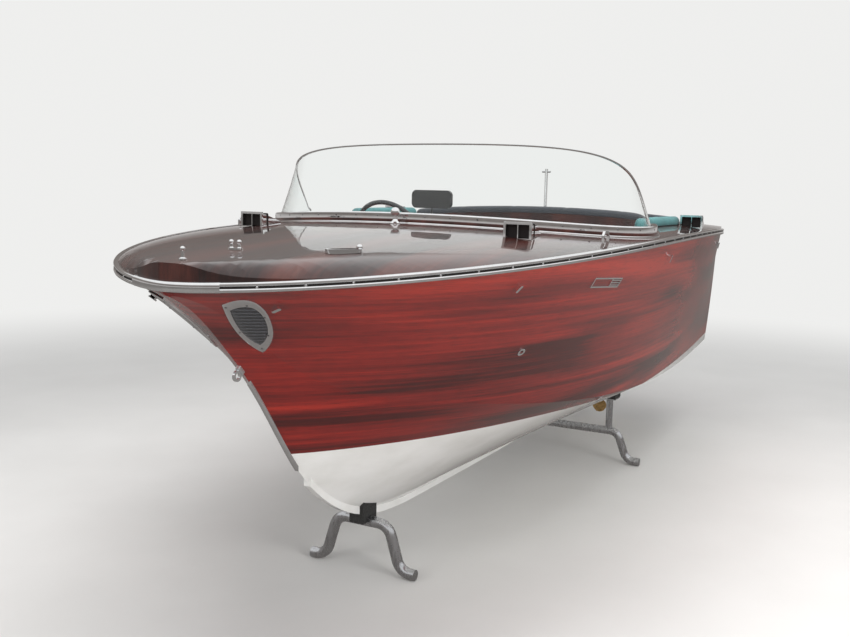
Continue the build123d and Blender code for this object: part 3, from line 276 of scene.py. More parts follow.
chrome = metal("polished_chrome", (0.92, 0.93, 0.94), 0.04, (25, 25, 25), 0.08)
dull_chrome = metal("screw_chrome", (0.36, 0.36, 0.37), 0.2, (60, 60, 60), 0.3)
stand_steel = metal("bright_tube", (0.60, 0.61, 0.63), 0.16, (60, 60, 9), 0.22, 0.05)
shaft_steel = metal("turned_shaft", (0.55, 0.56, 0.58), 0.2, (300, 20, 20), 0.15, 0.1)
bronze = metal("cast_bronze", (0.62, 0.40, 0.17), 0.24, (70, 70, 70), 0.5, 0.35)
mirror_silver = metal("silvered_glass", (0.90, 0.91, 0.92), 0.008, (6, 6, 6), 0.03)
print("metals", chrome.name, stand_steel.name, bronze.name)

# %% [markdown]
# ## Glass, plastic, rubber and paint
# The windshield is a bent clear sheet: it is a thin solid, so a transmitting shader with a low
# roughness shows both of its faces, and a low index keeps it from mirroring too much. The bow lamps'
# glass is smoked and ribbed. The wheel rim is moulded, the pads under the hull are rubber, and the
# engine wears one coat of enamel.

# %% Clear and moulded finishes
SHEET_IOR = 1.3
LAMP_RIBS = 26.0


def plain_finish(name, dark, light, scale, rough, bump, **sockets):
    """A coloured solid with a fine mottle in colour and height."""
    material, tree, shader = new_finish(name, Roughness=rough, **sockets)
    mottle = noise_of(tree, (scale,) * 3, 6.0)
    tone = ramp(tree, mottle, (0.3, dark), (0.7, light))
    tree.links.new(tone, shader.inputs["Base Color"])
    bumps(tree, shader, mottle, bump, 0.0006)
    return material


def clear_sheet(name, tint, rough):
    """Clear bent sheet with faint polishing haze."""
    material, tree, shader = new_finish(name, Transmission_Weight=1.0, IOR=SHEET_IOR)
    level = grey_ramp(tree, noise_of(tree, (9, 9, 9), 5.0), (0.4, rough), (0.8, rough * 4))
    tree.links.new(level, shader.inputs["Roughness"])
    shader.inputs["Base Color"].default_value = (*tint, 1)
    return material


def ribbed_glass(name):
    """Smoked lamp glass with level ribs pressed into it; its colour is lighter on the rib crests and
    darker in the grooves, a painted highlight and painted shade.
    """
    material, tree, shader = new_finish(name, Roughness=0.1, Coat_Weight=1.0, Coat_Roughness=0.02)
    ribs = add_node(tree, "TexWave", {"Vector": place(tree, (1, 1, 1)), "Scale": LAMP_RIBS,
                                      "Distortion": 0.4}, wave_type="BANDS", bands_direction="Z")
    # painted highlight on the rib crests and painted shade in the grooves, over the smoked tint
    tone = ramp(tree, ribs.outputs["Fac"], (0.2, (0.012, 0.013, 0.016)), (0.9, (0.055, 0.058, 0.066)))
    tree.links.new(tone, shader.inputs["Base Color"])
    bumps(tree, shader, ribs.outputs["Fac"], 0.5, 0.002)
    return material


shield_clear = clear_sheet("windshield_clear", (0.97, 0.99, 0.985), 0.003)
lamp_smoked = ribbed_glass("smoked_lamp_glass")
wheel_black = plain_finish("wheel_moulding", (0.010, 0.010, 0.011), (0.022, 0.022, 0.024), 90, 0.28, 0.08,
                           Coat_Weight=0.5, Coat_Roughness=0.1)
pad_rubber = plain_finish("pad_rubber", (0.018, 0.018, 0.018), (0.045, 0.044, 0.042), 120, 0.85, 0.5)
engine_enamel = plain_finish("engine_enamel", (0.13, 0.17, 0.18), (0.19, 0.24, 0.25), 30, 0.45, 0.25)
dial_black = plain_finish("dial_face", (0.008, 0.008, 0.009), (0.014, 0.014, 0.015), 200, 0.4, 0.03,
                          Coat_Weight=1.0, Coat_Roughness=0.02)
dial_white = plain_finish("dial_marks", (0.66, 0.65, 0.60), (0.74, 0.73, 0.68), 300, 0.5, 0.03)
# near-black finish that paints shade: inside the ventilator throats and in the rail's groove
painted_shade_black = plain_finish("painted_shade_dark", (0.006, 0.005, 0.005), (0.016, 0.012, 0.011), 260, 0.7, 0.4)
print("moulded finishes", lamp_smoked.name, wheel_black.name, painted_shade_black.name)

# %% [markdown]
# ## Upholstery leathercloth
# Seats and pads are leathercloth: a fine pebble grain with soft colour change where it is stretched.
# A Voronoi pattern makes the pebbles and darkens the creases between them as painted shade, and a slow
# noise shifts the colour.

# %% Leathercloth


def leathercloth(name, dark, light):
    """Grained soft covering, darkened in the grain's creases as painted shade."""
    material, tree, shader = new_finish(name, Roughness=0.46, Sheen_Weight=0.15, Sheen_Roughness=0.4)
    pebbles = add_node(tree, "TexVoronoi", {"Vector": place(tree, (420, 420, 420)), "Scale": 1.0},
                       feature="SMOOTH_F1")
    tone = ramp(tree, noise_of(tree, (7, 7, 7), 5.0), (0.32, dark), (0.68, light))
    # painted shade: the creases between the pebbles are darkened
    painted_crease_shade = grey_ramp(tree, pebbles.outputs["Distance"], (0.0, 1.0), (0.75, 0.72))
    tree.links.new(blend_colours(tree, 1.0, tone, painted_crease_shade, "MULTIPLY"), shader.inputs["Base Color"])
    bumps(tree, shader, pebbles.outputs["Distance"], 0.25, 0.0005)
    return material


teal_cloth = leathercloth("teal_leathercloth", (0.030, 0.15, 0.155), (0.055, 0.235, 0.24))
dark_cloth = leathercloth("dark_leathercloth", (0.008, 0.011, 0.016), (0.018, 0.023, 0.032))
print("coverings", teal_cloth.name, dark_cloth.name)

# %% [markdown]
# ## Giving each solid its finish
# The frame's objects keep their meshes. Only the material in each of their slots changes. Nodes that a
# piece replaces further down get their finish here too, so that no solid is ever left plain.

# %% Dress the solids
FINISHES = (
    (topside_wood, "hull_side_port hull_side_starboard hull_bottom_port hull_bottom_starboard transom "
                   "keel_strip"),
    (deck_wood, "foredeck aft_deck side_deck_port side_deck_starboard engine_hatch"),
    (panel_wood, "dashboard"),
    (inside_wood, "footwell_bulkhead engine_bearers aft_bulkhead cockpit_sole seat_base"),
    (chrome, "rub_rail stem_band windshield_base windshield_rim bow_post bow_cleat deck_ring bow_light "
             "ventilators_fore ventilators_aft side_chocks stern_pole fender_hooks side_louvres "
             "skin_fittings bow_lamp_bezels bow_eye exhaust_outlets steering_column hatch_hinges "
             "hatch_hinge_leaves"),
    (shield_clear, "windshield_glass"),
    (lamp_smoked, "bow_lamp_glasses"),
    (wheel_black, "steering_wheel rear_view_mirror"),
    (dial_black, "gauges"),
    (engine_enamel, "engine"),
    (bronze, "shaft_tube shaft_strut propeller propeller_nut rudder rudder_tube"),
    (shaft_steel, "propeller_shaft"),
    (stand_steel, "bow_trestle stern_trestle"),
    (pad_rubber, "stand_pads"),
    (teal_cloth, "seat_cushion seat_back coaming_pad_port coaming_pad_starboard"),
    (dark_cloth, "aft_crown_pad"),
)


def dress(name, material):
    """Put one finish on every slot of a CAD node."""
    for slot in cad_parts[name].material_slots:
        slot.material = material


for material, names in FINISHES:
    for name in names.split():
        dress(name, material)
dressed = {name for _, names in FINISHES for name in names.split()}
print("undressed nodes", sorted(set(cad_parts) - dressed))

# %% [markdown]
# ## Making new pieces
# A mesh made in code has to be linked, shaded smooth, given its finish and set to ride on a body of
# the frame. One helper does that for all of them.

# %% Piece helpers
SMOOTH_ANGLE = 40


def make_piece(name, mesh_source, material, body="hull", smooth_angle=SMOOTH_ANGLE):
    """Turn a bmesh into a finished piece that rides on a body."""
    mesh = bpy.data.meshes.new(name)
    bmesh.ops.recalc_face_normals(mesh_source, faces=mesh_source.faces)
    mesh_source.to_mesh(mesh)
    mesh_source.free()
    piece = bpy.data.objects.new(name, mesh)
    bpy.context.collection.objects.link(piece)
    mesh.materials.append(material)
    mesh.shade_smooth()
    mesh.set_sharp_from_angle(angle=math.radians(smooth_angle))
    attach(piece, body)
    return piece


def faces_of(*pieces):
    """Face counts of some pieces, for printing."""
    return [len(piece.data.polygons) for piece in pieces]


print("new pieces are smooth up to", SMOOTH_ANGLE, "degrees between faces")

# %% [markdown]
# ## Seating by touch
# What is fastened to the boat has to sit on it. Its place could be typed in, but it would stay behind
# when the hull changes. So it is found by touch: a straight line is sent at the CAD surface, and the
# piece goes where the line lands.

# %% Touch helpers
UP = Vector((0, 0, 1))
ABOVE_DECK = 2.5


def skin_of(*names):
    """One searchable surface made of some CAD nodes."""
    corners, faces = [], []
    for name in names:
        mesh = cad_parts[name].data
        first = len(corners)
        corners += [vertex.co.copy() for vertex in mesh.vertices]
        faces += [[first + index for index in face.vertices] for face in mesh.polygons]
    return BVHTree.FromPolygons(corners, faces)


def touch(skin, start, direction, reach=3.0):
    """Where a straight line from a point meets a skin, and which way the skin faces there."""
    landing, facing, _, _ = skin.ray_cast(Vector(start), Vector(direction).normalized(), reach)
    return landing, facing


def middle_of(low, high):
    """Middle of a box."""
    return [(a + b) / 2 for a, b in zip(low, high)]


def rounded(values):
    """A place to the millimetre, for printing."""
    return [round(value, 3) for value in values]


deck_skin = skin_of("foredeck", "side_deck_port", "side_deck_starboard", "aft_deck")


def deck_height(x, y):
    """Height of the deck's top at a place in plan."""
    landing, _ = touch(deck_skin, (x, y, ABOVE_DECK), -UP)
    return landing.z if landing else None


print("deck height amidships at the side", round(deck_height(0.6, 0.9), 4))

# %% [markdown]
# ## Sweeping a section along a line
# Rails, rims and mouldings are all one closed section carried along a line. Blender could bevel a
# curve with a profile object, but here the section stays upright and every place has its own outward
# direction, taken from the boat, so the skin is built ring by ring.

# %% Skins and sweeps


def bridge(mesh, loops):
    """Faces between closed loops of equal count."""
    for loop, following in zip(loops, loops[1:]):
        for k in range(len(loop)):
            n = (k + 1) % len(loop)
            mesh.faces.new((loop[k], loop[n], following[n], following[k]))


def ring_skin(mesh, rings):
    """Skin over rings of places, capped at both ends."""
    made = [[mesh.verts.new(corner) for corner in ring] for ring in rings]
    bridge(mesh, made)
    mesh.faces.new(made[0])
    mesh.faces.new(list(reversed(made[-1])))


def sweep(mesh, line, outs, section):
    """Carry a closed section of (out, up) places along a line."""
    ring_skin(mesh, [[point + out * o + UP * u for o, u in section] for point, out in zip(line, outs)])


def swept_piece(name, line, outs, sections, material):
    """A piece made of one or more sections carried along the same line."""
    mesh = bmesh.new()
    for section in sections:
        sweep(mesh, line, outs, section)
    return make_piece(name, mesh, material)


def outline_of(grid):
    """The border of a grid of corners, in order round it."""
    far_side = [row[-1] for row in grid[1:]]
    near_side = [row[0] for row in grid[-2:0:-1]]
    return grid[0] + far_side + grid[-1][-2::-1] + near_side


def grid_skin(mesh, grid):
    """Faces over a grid of corners."""
    for lower, upper in zip(grid, grid[1:]):
        for a, b, c, d in zip(lower, lower[1:], upper[1:], upper):
            mesh.faces.new((a, b, c, d))


def mirrored(mesh):
    """Add the starboard twin of everything in a mesh."""
    twin = bmesh.ops.duplicate(mesh, geom=mesh.verts[:] + mesh.edges[:] + mesh.faces[:])
    verts = [item for item in twin["geom"] if isinstance(item, bmesh.types.BMVert)]
    bmesh.ops.scale(mesh, vec=(1, -1, 1), verts=verts)


print("border of a 3 by 3 grid", len(outline_of([[0] * 3] * 3)), "corners")

# %% Sections and turned forms


def soft_box(out_low, out_high, up_low, up_high, soft, steps=3):
    """Section of a bar with its two upper edges rounded."""
    corners = [(out_high, up_low), (out_low, up_low)]
    for centre_out, first in ((out_low + soft, 180), (out_high - soft, 90)):
        for step in range(steps + 1):
            a = math.radians(first - 90 * step / steps)
            corners.append((centre_out + soft * math.cos(a), up_high - soft + soft * math.sin(a)))
    return corners


def outward_of(line):
    """Level outward direction at each place of a line that runs forward on the port side."""
    outs = []
    for k in range(len(line)):
        along = line[min(k + 1, len(line) - 1)] - line[max(k - 1, 0)]
        outs.append(Vector((-along.y, along.x, 0)).normalized())
    return outs


def turned(mesh, centre, axis, profile, around=32):
    """Lathe a closed profile of (radius, height) places about an axis; a radius of 0 closes the end."""
    side = axis.orthogonal().normalized()
    other = axis.cross(side)
    rows = []
    for radius, height in profile:
        middle = centre + axis * height
        if radius == 0:
            rows.append([mesh.verts.new(middle)])
        else:
            turns = [2 * math.pi * k / around for k in range(around)]
            ring = [middle + (side * math.cos(t) + other * math.sin(t)) * radius for t in turns]
            rows.append([mesh.verts.new(corner) for corner in ring])
    for row, following in zip(rows, rows[1:]):
        for k in range(around):
            n = (k + 1) % around
            if len(row) == 1:
                mesh.faces.new((row[0], following[k], following[n]))
            elif len(following) == 1:
                mesh.faces.new((row[k], following[0], row[n]))
            else:
                mesh.faces.new((row[k], following[k], following[n], row[n]))


print("corners in a moulding's section", len(soft_box(0, 0.02, 0, 0.02, 0.004)))

# %% [markdown]
# ## The deck's rolled edge
# The deck's crown is one large arc, so over the narrow bow its edge stands well above the sheer. On the
# real boat the deck comes down to the rail all the way round. The deck piece is the CAD deck cut fine,
# with its outer strip rolled down, most at the nose and hardly at all amidships. First the edge itself
# is followed by touch, on the outer face of the CAD rail.

# %% Follow the rail
SHEER_TOP_X = -0.22
SHEER_TOP_Z = 1.450
SHEER_RADIUS = 30.4
RAIL_OUT = 0.013
RAIL_TAIL = 0.004
OUTSIDE_Y = 2.0
AHEAD_X = 3.5
LEAST_HALF = 0.02
rail_skin = skin_of("rub_rail")
rail_low, rail_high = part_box("rub_rail")


def sheer_z(x):
    """Height of the sheer, the line where side and deck meet: an arc of a large circle."""
    return SHEER_TOP_Z - SHEER_RADIUS + math.sqrt(SHEER_RADIUS ** 2 - (x - SHEER_TOP_X) ** 2)


def rail_points(steps=110):
    """Outer line of the rail at sheer height, from the port stern round the tip to the starboard stern."""
    tail = rail_low[0] + RAIL_TAIL
    port = []
    for k in range(steps):
        x = tail + (rail_high[0] - tail) * math.sin(math.pi / 2 * k / steps)
        landing, _ = touch(rail_skin, (x, OUTSIDE_Y, sheer_z(x)), (0, -1, 0))
        if landing and landing.y > LEAST_HALF:
            port.append(landing)
    tip, _ = touch(rail_skin, (AHEAD_X, 0, sheer_z(rail_high[0])), (-1, 0, 0))
    return port + [tip] + [Vector((p.x, -p.y, p.z)) for p in reversed(port)]


rail_line = rail_points()
rail_outs = outward_of(rail_line)
port_line = [point for point in rail_line if point.y >= 0]
print("rail points", len(rail_line), "tip at", round(port_line[-1].x, 3))

# %% Roll the foredeck's edge
ARC_RADIUS = 9.2175
CROWN_OVER_EDGE = 0.060
ROLL_POWER = 7
CUT_ALONG = 0.04
CUT_ACROSS = 0.025


def half_beam(x):
    """Half width of the deck at a place along the boat."""
    for aft, fore in zip(port_line, port_line[1:]):
        if aft.x <= x <= fore.x:
            part = (x - aft.x) / max(fore.x - aft.x, 1e-6)
            return max(aft.y + (fore.y - aft.y) * part - RAIL_OUT, LEAST_HALF)
    return port_line[0].y if x < port_line[0].x else LEAST_HALF


def edge_roll(x, y):
    """How far the deck comes down at a place to meet the rail."""
    half = half_beam(x)
    drop = max(CROWN_OVER_EDGE - half ** 2 / (2 * ARC_RADIUS), 0.0)
    return drop * min(abs(y) / half, 1.0) ** ROLL_POWER


def rolled_deck(node_name):
    """The CAD deck cut fine and rolled down at its edge."""
    mesh = bmesh.new()
    mesh.from_mesh(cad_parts[node_name].data)
    low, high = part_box(node_name)
    for index, axis, step in ((0, Vector((1, 0, 0)), CUT_ALONG), (1, Vector((0, 1, 0)), CUT_ACROSS)):
        for k in range(1, int((high[index] - low[index]) / step) + 1):
            cut = axis * (low[index] + step * k)
            everything = mesh.verts[:] + mesh.edges[:] + mesh.faces[:]
            bmesh.ops.bisect_plane(mesh, geom=everything, plane_co=cut, plane_no=axis)
    for vertex in mesh.verts:
        over_sheer = max(vertex.co.z - sheer_z(vertex.co.x), 0.0)
        vertex.co.z -= min(edge_roll(vertex.co.x, vertex.co.y), over_sheer)
    return mesh


foredeck_planks = make_piece("foredeck_rolled", rolled_deck("foredeck"), deck_wood,
                             smooth_angle=28)
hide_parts("foredeck")


def seat_height(x, y):
    """Height of the deck as it shows, edge roll included."""
    height = deck_height(x, y)
    return None if height is None else height - edge_roll(x, y)


print("foredeck faces", faces_of(foredeck_planks))
print("edge roll near the nose", round(edge_roll(2.2, half_beam(2.2)), 4))

# %% [markdown]
# ## Screw heads
# Oval screws hold every moulding. A head is a low dome on a disc grid with a slot pressed across it. All
# the heads of one moulding are joined in one mesh.

# %% Screw builder
HEAD_GRID = 10
HEAD_DOME = 0.42
HEAD_SKIRT = 0.4
SLOT_HALF = 0.17
SLOT_DEEP = 0.3
SLOT_REACH = 0.8


def screw_head(mesh, centre, axis, radius, turn=0.0):
    """One slotted oval head standing on a face."""
    side = axis.orthogonal().normalized()
    other = axis.cross(side)
    along = side * math.cos(turn) + other * math.sin(turn)
    across = axis.cross(along)
    rows = []
    for i in range(HEAD_GRID + 1):
        a = 2 * i / HEAD_GRID - 1
        row = []
        for j in range(HEAD_GRID + 1):
            b = 2 * j / HEAD_GRID - 1
            u = a * math.sqrt(1 - b * b / 2)
            v = b * math.sqrt(1 - a * a / 2)
            reach = u * u + v * v
            in_slot = abs(v) < SLOT_HALF and reach < SLOT_REACH
            height = HEAD_DOME * (1 - reach) - (SLOT_DEEP if in_slot else 0)
            row.append(mesh.verts.new(centre + (along * u + across * v + axis * height) * radius))
        rows.append(row)
    grid_skin(mesh, rows)
    skirt = outline_of(rows)
    sunk = [mesh.verts.new(vertex.co - axis * radius * HEAD_SKIRT) for vertex in skirt]
    bridge(mesh, [skirt, sunk])
    mesh.faces.new(sunk)


def spaced(line, outs, step, first=0.05):
    """Places at an even distance along a line, each with its outward direction."""
    places, wanted, gone = [], first, 0.0
    for k in range(len(line) - 1):
        length = (line[k + 1] - line[k]).length
        while gone + length >= wanted:
            part = (wanted - gone) / length
            out = outs[k].lerp(outs[k + 1], part).normalized()
            places.append((line[k].lerp(line[k + 1], part), out))
            wanted += step
        gone += length
    return places


print("corners in a screw head", (HEAD_GRID + 1) ** 2 + 4 * HEAD_GRID)

# %% [markdown]
# ## The rubbing rail
# The rail is two polished beads with a near-black strip in the groove between them, painted shade, closed
# at the nose by a smooth cap. Their sections are swept along the rail's line, which was found by touch,
# and the screws stand in the channel.

# %% Rail sections
# Each corner is (out, up) in metres from the outer face of the rail at the sheer.
CHANNEL_LOW = -0.008
CHANNEL_HIGH = 0.020
upper_bead = [(-0.015, 0.0165), (-0.015, 0.0225), (-0.002, 0.0222), (0.0015, 0.0205), (0.0034, 0.0172),
              (0.0030, 0.0132), (0.0012, 0.0098), (-0.002, 0.0090)]
lower_bead = [(-0.013, -0.0075), (-0.013, -0.0105), (-0.001, -0.0102), (0.0018, -0.0085),
              (0.0034, -0.0052), (0.0030, -0.0012), (0.0012, 0.0022), (-0.002, 0.0030)]
cap_section = [(-0.014, -0.0115), (-0.014, 0.0235), (-0.002, 0.0232), (0.0030, 0.0205), (0.0052, 0.0140),
               (0.0056, 0.0060), (0.0052, -0.0020), (0.0030, -0.0085), (-0.002, -0.0112)]
channel_shade_section = [(-0.016, CHANNEL_LOW), (-0.016, CHANNEL_HIGH), (-0.0002, CHANNEL_HIGH), (-0.0002, CHANNEL_LOW)]
print("rail height", round(upper_bead[1][1] - lower_bead[1][1], 4))

# %% Beads, cap and channel
CAP_REACH = 0.2
tip_index = len(rail_line) // 2
near_tip = [k for k, point in enumerate(rail_line) if (point - rail_line[tip_index]).length < CAP_REACH]
cap_line = [rail_line[k] for k in near_tip]
cap_outs = [rail_outs[k] for k in near_tip]
mesh = bmesh.new()
sweep(mesh, rail_line, rail_outs, upper_bead)
sweep(mesh, rail_line, rail_outs, lower_bead)
sweep(mesh, cap_line, cap_outs, cap_section)
rail_beads = make_piece("rail_beads", mesh, chrome, smooth_angle=50)
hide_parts("rub_rail")
# the groove between the beads is filled by a near-black strip: painted shade
rail_channel_shade = swept_piece("rail_channel_shade", rail_line, rail_outs, [channel_shade_section], painted_shade_black)
print("bead and channel faces", faces_of(rail_beads, rail_channel_shade))

# %% Rail screws
RAIL_SCREW_STEP = 0.15
RAIL_SCREW_R = 0.0042
RAIL_SCREW_UP = 0.006
SLOT_TURNS = 9
mesh = bmesh.new()
for point, out in spaced(rail_line, rail_outs, RAIL_SCREW_STEP):
    if (point - rail_line[tip_index]).length > CAP_REACH:
        screw_head(mesh, point + UP * RAIL_SCREW_UP, out, RAIL_SCREW_R, point.x * SLOT_TURNS)
rail_screws = make_piece("rail_screws", mesh, chrome)
print("rail screw faces", faces_of(rail_screws))

# %% [markdown]
# ## The windshield
# The sheet is bent round the cockpit and leans aft. It is a wall ruled between two ellipses, a wide one at
# the deck and a narrow one at the top edge. Seen from the side its top runs level and then sweeps down to
# the deck, so the top of each ruled line is found by halving an interval until it meets that profile.

# %% Windshield form
FOOT_MIDDLE, FOOT_ALONG, FOOT_ACROSS, FOOT_Z = 0.408, 0.541, 0.983, 1.473
TOP_MIDDLE, TOP_ALONG, TOP_ACROSS, TOP_Z = 0.473, 0.157, 0.857, 1.871
LAST_TURN = 104.9
SWEEP_DOWN = ((0.624, 1.871), (0.437, 1.692), (0.269, 1.483))
SOFT_CORNER = 70.0
SHIELD_STEPS = 120
LEAST_GLASS = 0.05
SEARCH_HEIGHTS = (1.3, 2.2)
HALVINGS = 40


def wall_point(turn, z):
    """Place on the ruled wall at a height."""
    part = (z - FOOT_Z) / (TOP_Z - FOOT_Z)
    foot_x = FOOT_MIDDLE + FOOT_ALONG * math.cos(turn)
    top_x = TOP_MIDDLE + TOP_ALONG * math.cos(turn)
    y = FOOT_ACROSS * math.sin(turn) * (1 - part) + TOP_ACROSS * math.sin(turn) * part
    return Vector((foot_x * (1 - part) + top_x * part, y, z))


def wall_out(turn):
    """Level outward direction of the wall."""
    return Vector((math.cos(turn) / FOOT_ALONG, math.sin(turn) / FOOT_ACROSS, 0)).normalized()


def swept_edge(x):
    """The sweeping part of the top edge: a curve through three places, straight ahead of the first."""
    (xa, za), (xb, zb), (xc, zc) = SWEEP_DOWN
    if x > xa:
        fore_slope = (za - zb) / (xa - xb) + (za - zc) / (xa - xc) - (zb - zc) / (xb - xc)
        return za + fore_slope * (x - xa)
    from_a = za * (x - xb) * (x - xc) / ((xa - xb) * (xa - xc))
    from_b = zb * (x - xa) * (x - xc) / ((xb - xa) * (xb - xc))
    from_c = zc * (x - xa) * (x - xb) / ((xc - xa) * (xc - xb))
    return from_a + from_b + from_c


def top_profile(x):
    """Height of the top edge seen from the side: the lower of level and sweep, blended at the corner."""
    level = math.exp(-SOFT_CORNER * (TOP_Z - 1))
    return 1 - math.log(level + math.exp(-SOFT_CORNER * (swept_edge(x) - 1))) / SOFT_CORNER


def top_height(turn):
    """Height where the ruled line of a turn meets the profile."""
    low, high = SEARCH_HEIGHTS
    for _ in range(HALVINGS):
        z = (low + high) / 2
        if z < top_profile(wall_point(turn, z).x):
            low = z
        else:
            high = z
    return low


print("windshield's top ahead", round(top_height(0.0), 3), "at its ends",
      round(top_height(math.radians(LAST_TURN)), 3))

# %% Windshield foot and top lines
turns = [math.radians(-LAST_TURN + 2 * LAST_TURN * k / SHIELD_STEPS) for k in range(SHIELD_STEPS + 1)]
shield_outs = [wall_out(turn) for turn in turns]
foot_line = []
for turn in turns:
    foot = wall_point(turn, FOOT_Z)
    height = seat_height(foot.x, foot.y) or FOOT_Z
    foot_line.append(wall_point(turn, height))
top_line = []
for turn, foot in zip(turns, foot_line):
    top_line.append(wall_point(turn, max(top_height(turn), foot.z + LEAST_GLASS)))
foot_ahead = foot_line[SHIELD_STEPS // 2]
print("windshield top", round(max(point.z for point in top_line), 3), "foot ahead", round(foot_ahead.x, 3))

# %% Sheet and rim
GLASS_HALF = 0.0025
GLASS_ROWS = 10
GLASS_FOOT = 0.03
SHORTEST_CLIMB = 0.04
mesh = bmesh.new()
rings = []
for foot, top, out in zip(foot_line, top_line, shield_outs):
    start = foot.lerp(top, GLASS_FOOT / max(top.z - foot.z, SHORTEST_CLIMB))
    climb = [start.lerp(top, row / GLASS_ROWS) for row in range(GLASS_ROWS + 1)]
    outer = [point + out * GLASS_HALF for point in climb]
    inner = [point - out * GLASS_HALF for point in reversed(climb)]
    rings.append(outer + inner)
ring_skin(mesh, rings)
shield_sheet = make_piece("shield_sheet", mesh, shield_clear, smooth_angle=50)
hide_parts("windshield_glass")

rim_section = soft_box(-0.005, 0.005, -0.005, 0.0045, 0.003)
shield_rim = swept_piece("shield_rim", top_line, shield_outs, [rim_section], chrome)
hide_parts("windshield_rim")
print("sheet and rim faces", faces_of(shield_sheet, shield_rim))

# %% [markdown]
# The sheet stands in a polished band, held by dark screws. The band lies on a plinth of deck wood, and
# a thin bright line closes the plinth's foot. All of them follow the foot line.

# %% Plinth, band and screws
PLINTH_TOP = 0.018
BAND_TOP = 0.046
BAND_FACE = 0.0155
BAND_SCREW_UP = 0.031
BAND_SCREW_R = 0.0052
BAND_SCREW_STEP = 0.12
BAND_SCREW_FIRST = 0.04
plinth_section = soft_box(-0.014, 0.0235, -0.006, PLINTH_TOP, 0.004)
band_section = soft_box(-0.010, 0.016, PLINTH_TOP - 0.001, BAND_TOP, 0.006)
foot_bead = [(0.022, -0.004), (0.022, 0.0045), (0.0255, 0.004), (0.027, 0.001), (0.027, -0.004)]
shield_band = swept_piece("shield_band", foot_line, shield_outs, [band_section, foot_bead], chrome)
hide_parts("windshield_base")
shield_plinth = swept_piece("shield_plinth", foot_line, shield_outs, [plinth_section], deck_wood)

mesh = bmesh.new()
for point, out in spaced(foot_line, shield_outs, BAND_SCREW_STEP, BAND_SCREW_FIRST):
    seat = point + out * BAND_FACE + UP * BAND_SCREW_UP
    screw_head(mesh, seat, out, BAND_SCREW_R, point.y * SLOT_TURNS)
shield_screws = make_piece("shield_screws", mesh, dull_chrome)
print("band, plinth and screw faces", faces_of(shield_band, shield_plinth, shield_screws))

# %% [markdown]
# ## The bow light
# A bright ball on a flared foot stands against the windshield's band. Its outline is turned on a lathe.

# %% Bow light
LIGHT_AHEAD = 0.060
LIGHT_SUNK = 0.002
BALL_R = 0.0205
BALL_UP = 0.052
BALL_TOP = 0.0735
light_x = foot_ahead.x + LIGHT_AHEAD
light_foot = Vector((light_x, 0, seat_height(light_x, 0) - LIGHT_SUNK))
foot_outline = [(0, 0), (0.026, 0), (0.0262, 0.004), (0.020, 0.008), (0.0125, 0.014), (0.0095, 0.024),
                (0.0102, 0.032)]
ball_turns = [math.radians(degrees) for degrees in range(30, 180, 12)]
ball = [(BALL_R * math.sin(turn), BALL_UP - BALL_R * math.cos(turn)) for turn in ball_turns]
mesh = bmesh.new()
turned(mesh, light_foot, UP, foot_outline + ball + [(0, BALL_TOP)])
bow_light_turned = make_piece("bow_light_turned", mesh, chrome)
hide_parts("bow_light")
print("bow light at", rounded(light_foot))

# %% [markdown]
# ## The bow lamps
# The lamps are D-shaped castings let into the planking, with smoked glass behind a wide bezel. The side
# is flared there, so a flat outline wouldn't fit it. The outline is three curves drawn as the camera
# sees them, in pixels of the photograph, and each corner is laid on the side by a line of sight. The
# nose is flared more than the real one, so the drawing is shifted aft. The starboard lamp is mirrored.

# %% Lamp outline
LAMP_SHIFT_PX = (26, 3)
SIGHT_REACH = 9.0
LAMP_CURVES_PX = (((196, 301), (224, 297), (243, 313)), ((243, 313), (247, 333), (237, 349)),
                  ((237, 349), (212, 330), (196, 301)))
LAMP_SCREWS_PX = ((200, 303), (221, 301), (239, 313), (242, 331), (236, 344), (214, 328))
side_skin = skin_of("hull_side_port", "hull_bottom_port")


def curve_through(first, middle, last, steps=16):
    """Places on a smooth curve through three places, the last one left out."""
    bend = [2 * m - (a + b) / 2 for a, m, b in zip(first, middle, last)]
    places = []
    for step in range(steps):
        t = step / steps
        weights = ((1 - t) ** 2, 2 * t * (1 - t), t * t)
        places.append([sum(w * c for w, c in zip(weights, along)) for along in zip(first, bend, last)])
    return places


def pixel_ray(column, row):
    """Direction from the camera through a pixel of the photograph."""
    right, up, forward = camera_axes()
    across = right * (column - PHOTO_PX[0] / 2)
    return (forward * FOCAL_PX + across + up * (PHOTO_PX[1] / 2 - row)).normalized()


def seen_on_side(column, row):
    """Where a line of sight meets the port side, and the way the side faces there."""
    sight = pixel_ray(column + LAMP_SHIFT_PX[0], row + LAMP_SHIFT_PX[1])
    landing, facing = touch(side_skin, EYE, sight, SIGHT_REACH)
    return landing, (facing if facing.dot(sight) < 0 else -facing)


def on_side(column, row, proud):
    """A corner of the lamp's drawing laid on the side as the camera sees it, and stood proud of it."""
    landing, facing = seen_on_side(column, row)
    return landing + facing * proud


outline = [corner for curve in LAMP_CURVES_PX for corner in curve_through(*curve)]
lamp_middle = [sum(values) / len(outline) for values in zip(*outline)]
print("lamp middle at", rounded(on_side(*lamp_middle, 0)))

# %% Lamp castings and glass
BEZEL_PROUD = 0.006
BEZEL_INSET = 0.74
LAMP_SCREW_R = 0.0046


def lamp_loop(mesh, size, proud):
    """One loop of the outline drawn in towards its middle."""
    loop = []
    for corner in outline:
        column, row = [m + (c - m) * size for c, m in zip(corner, lamp_middle)]
        loop.append(mesh.verts.new(on_side(column, row, proud)))
    return loop


# Each step is the loop's size and how far it stands proud of the side.
mesh = bmesh.new()
bezel_steps = ((1.0, -0.004), (1.0, 0.004), (0.975, BEZEL_PROUD), (0.86, BEZEL_PROUD + 0.0015),
               (BEZEL_INSET, BEZEL_PROUD), (BEZEL_INSET - 0.02, 0.001))
bridge(mesh, [lamp_loop(mesh, size, proud) for size, proud in bezel_steps])
mirrored(mesh)
lamp_castings = make_piece("lamp_castings", mesh, chrome)
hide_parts("bow_lamp_bezels")

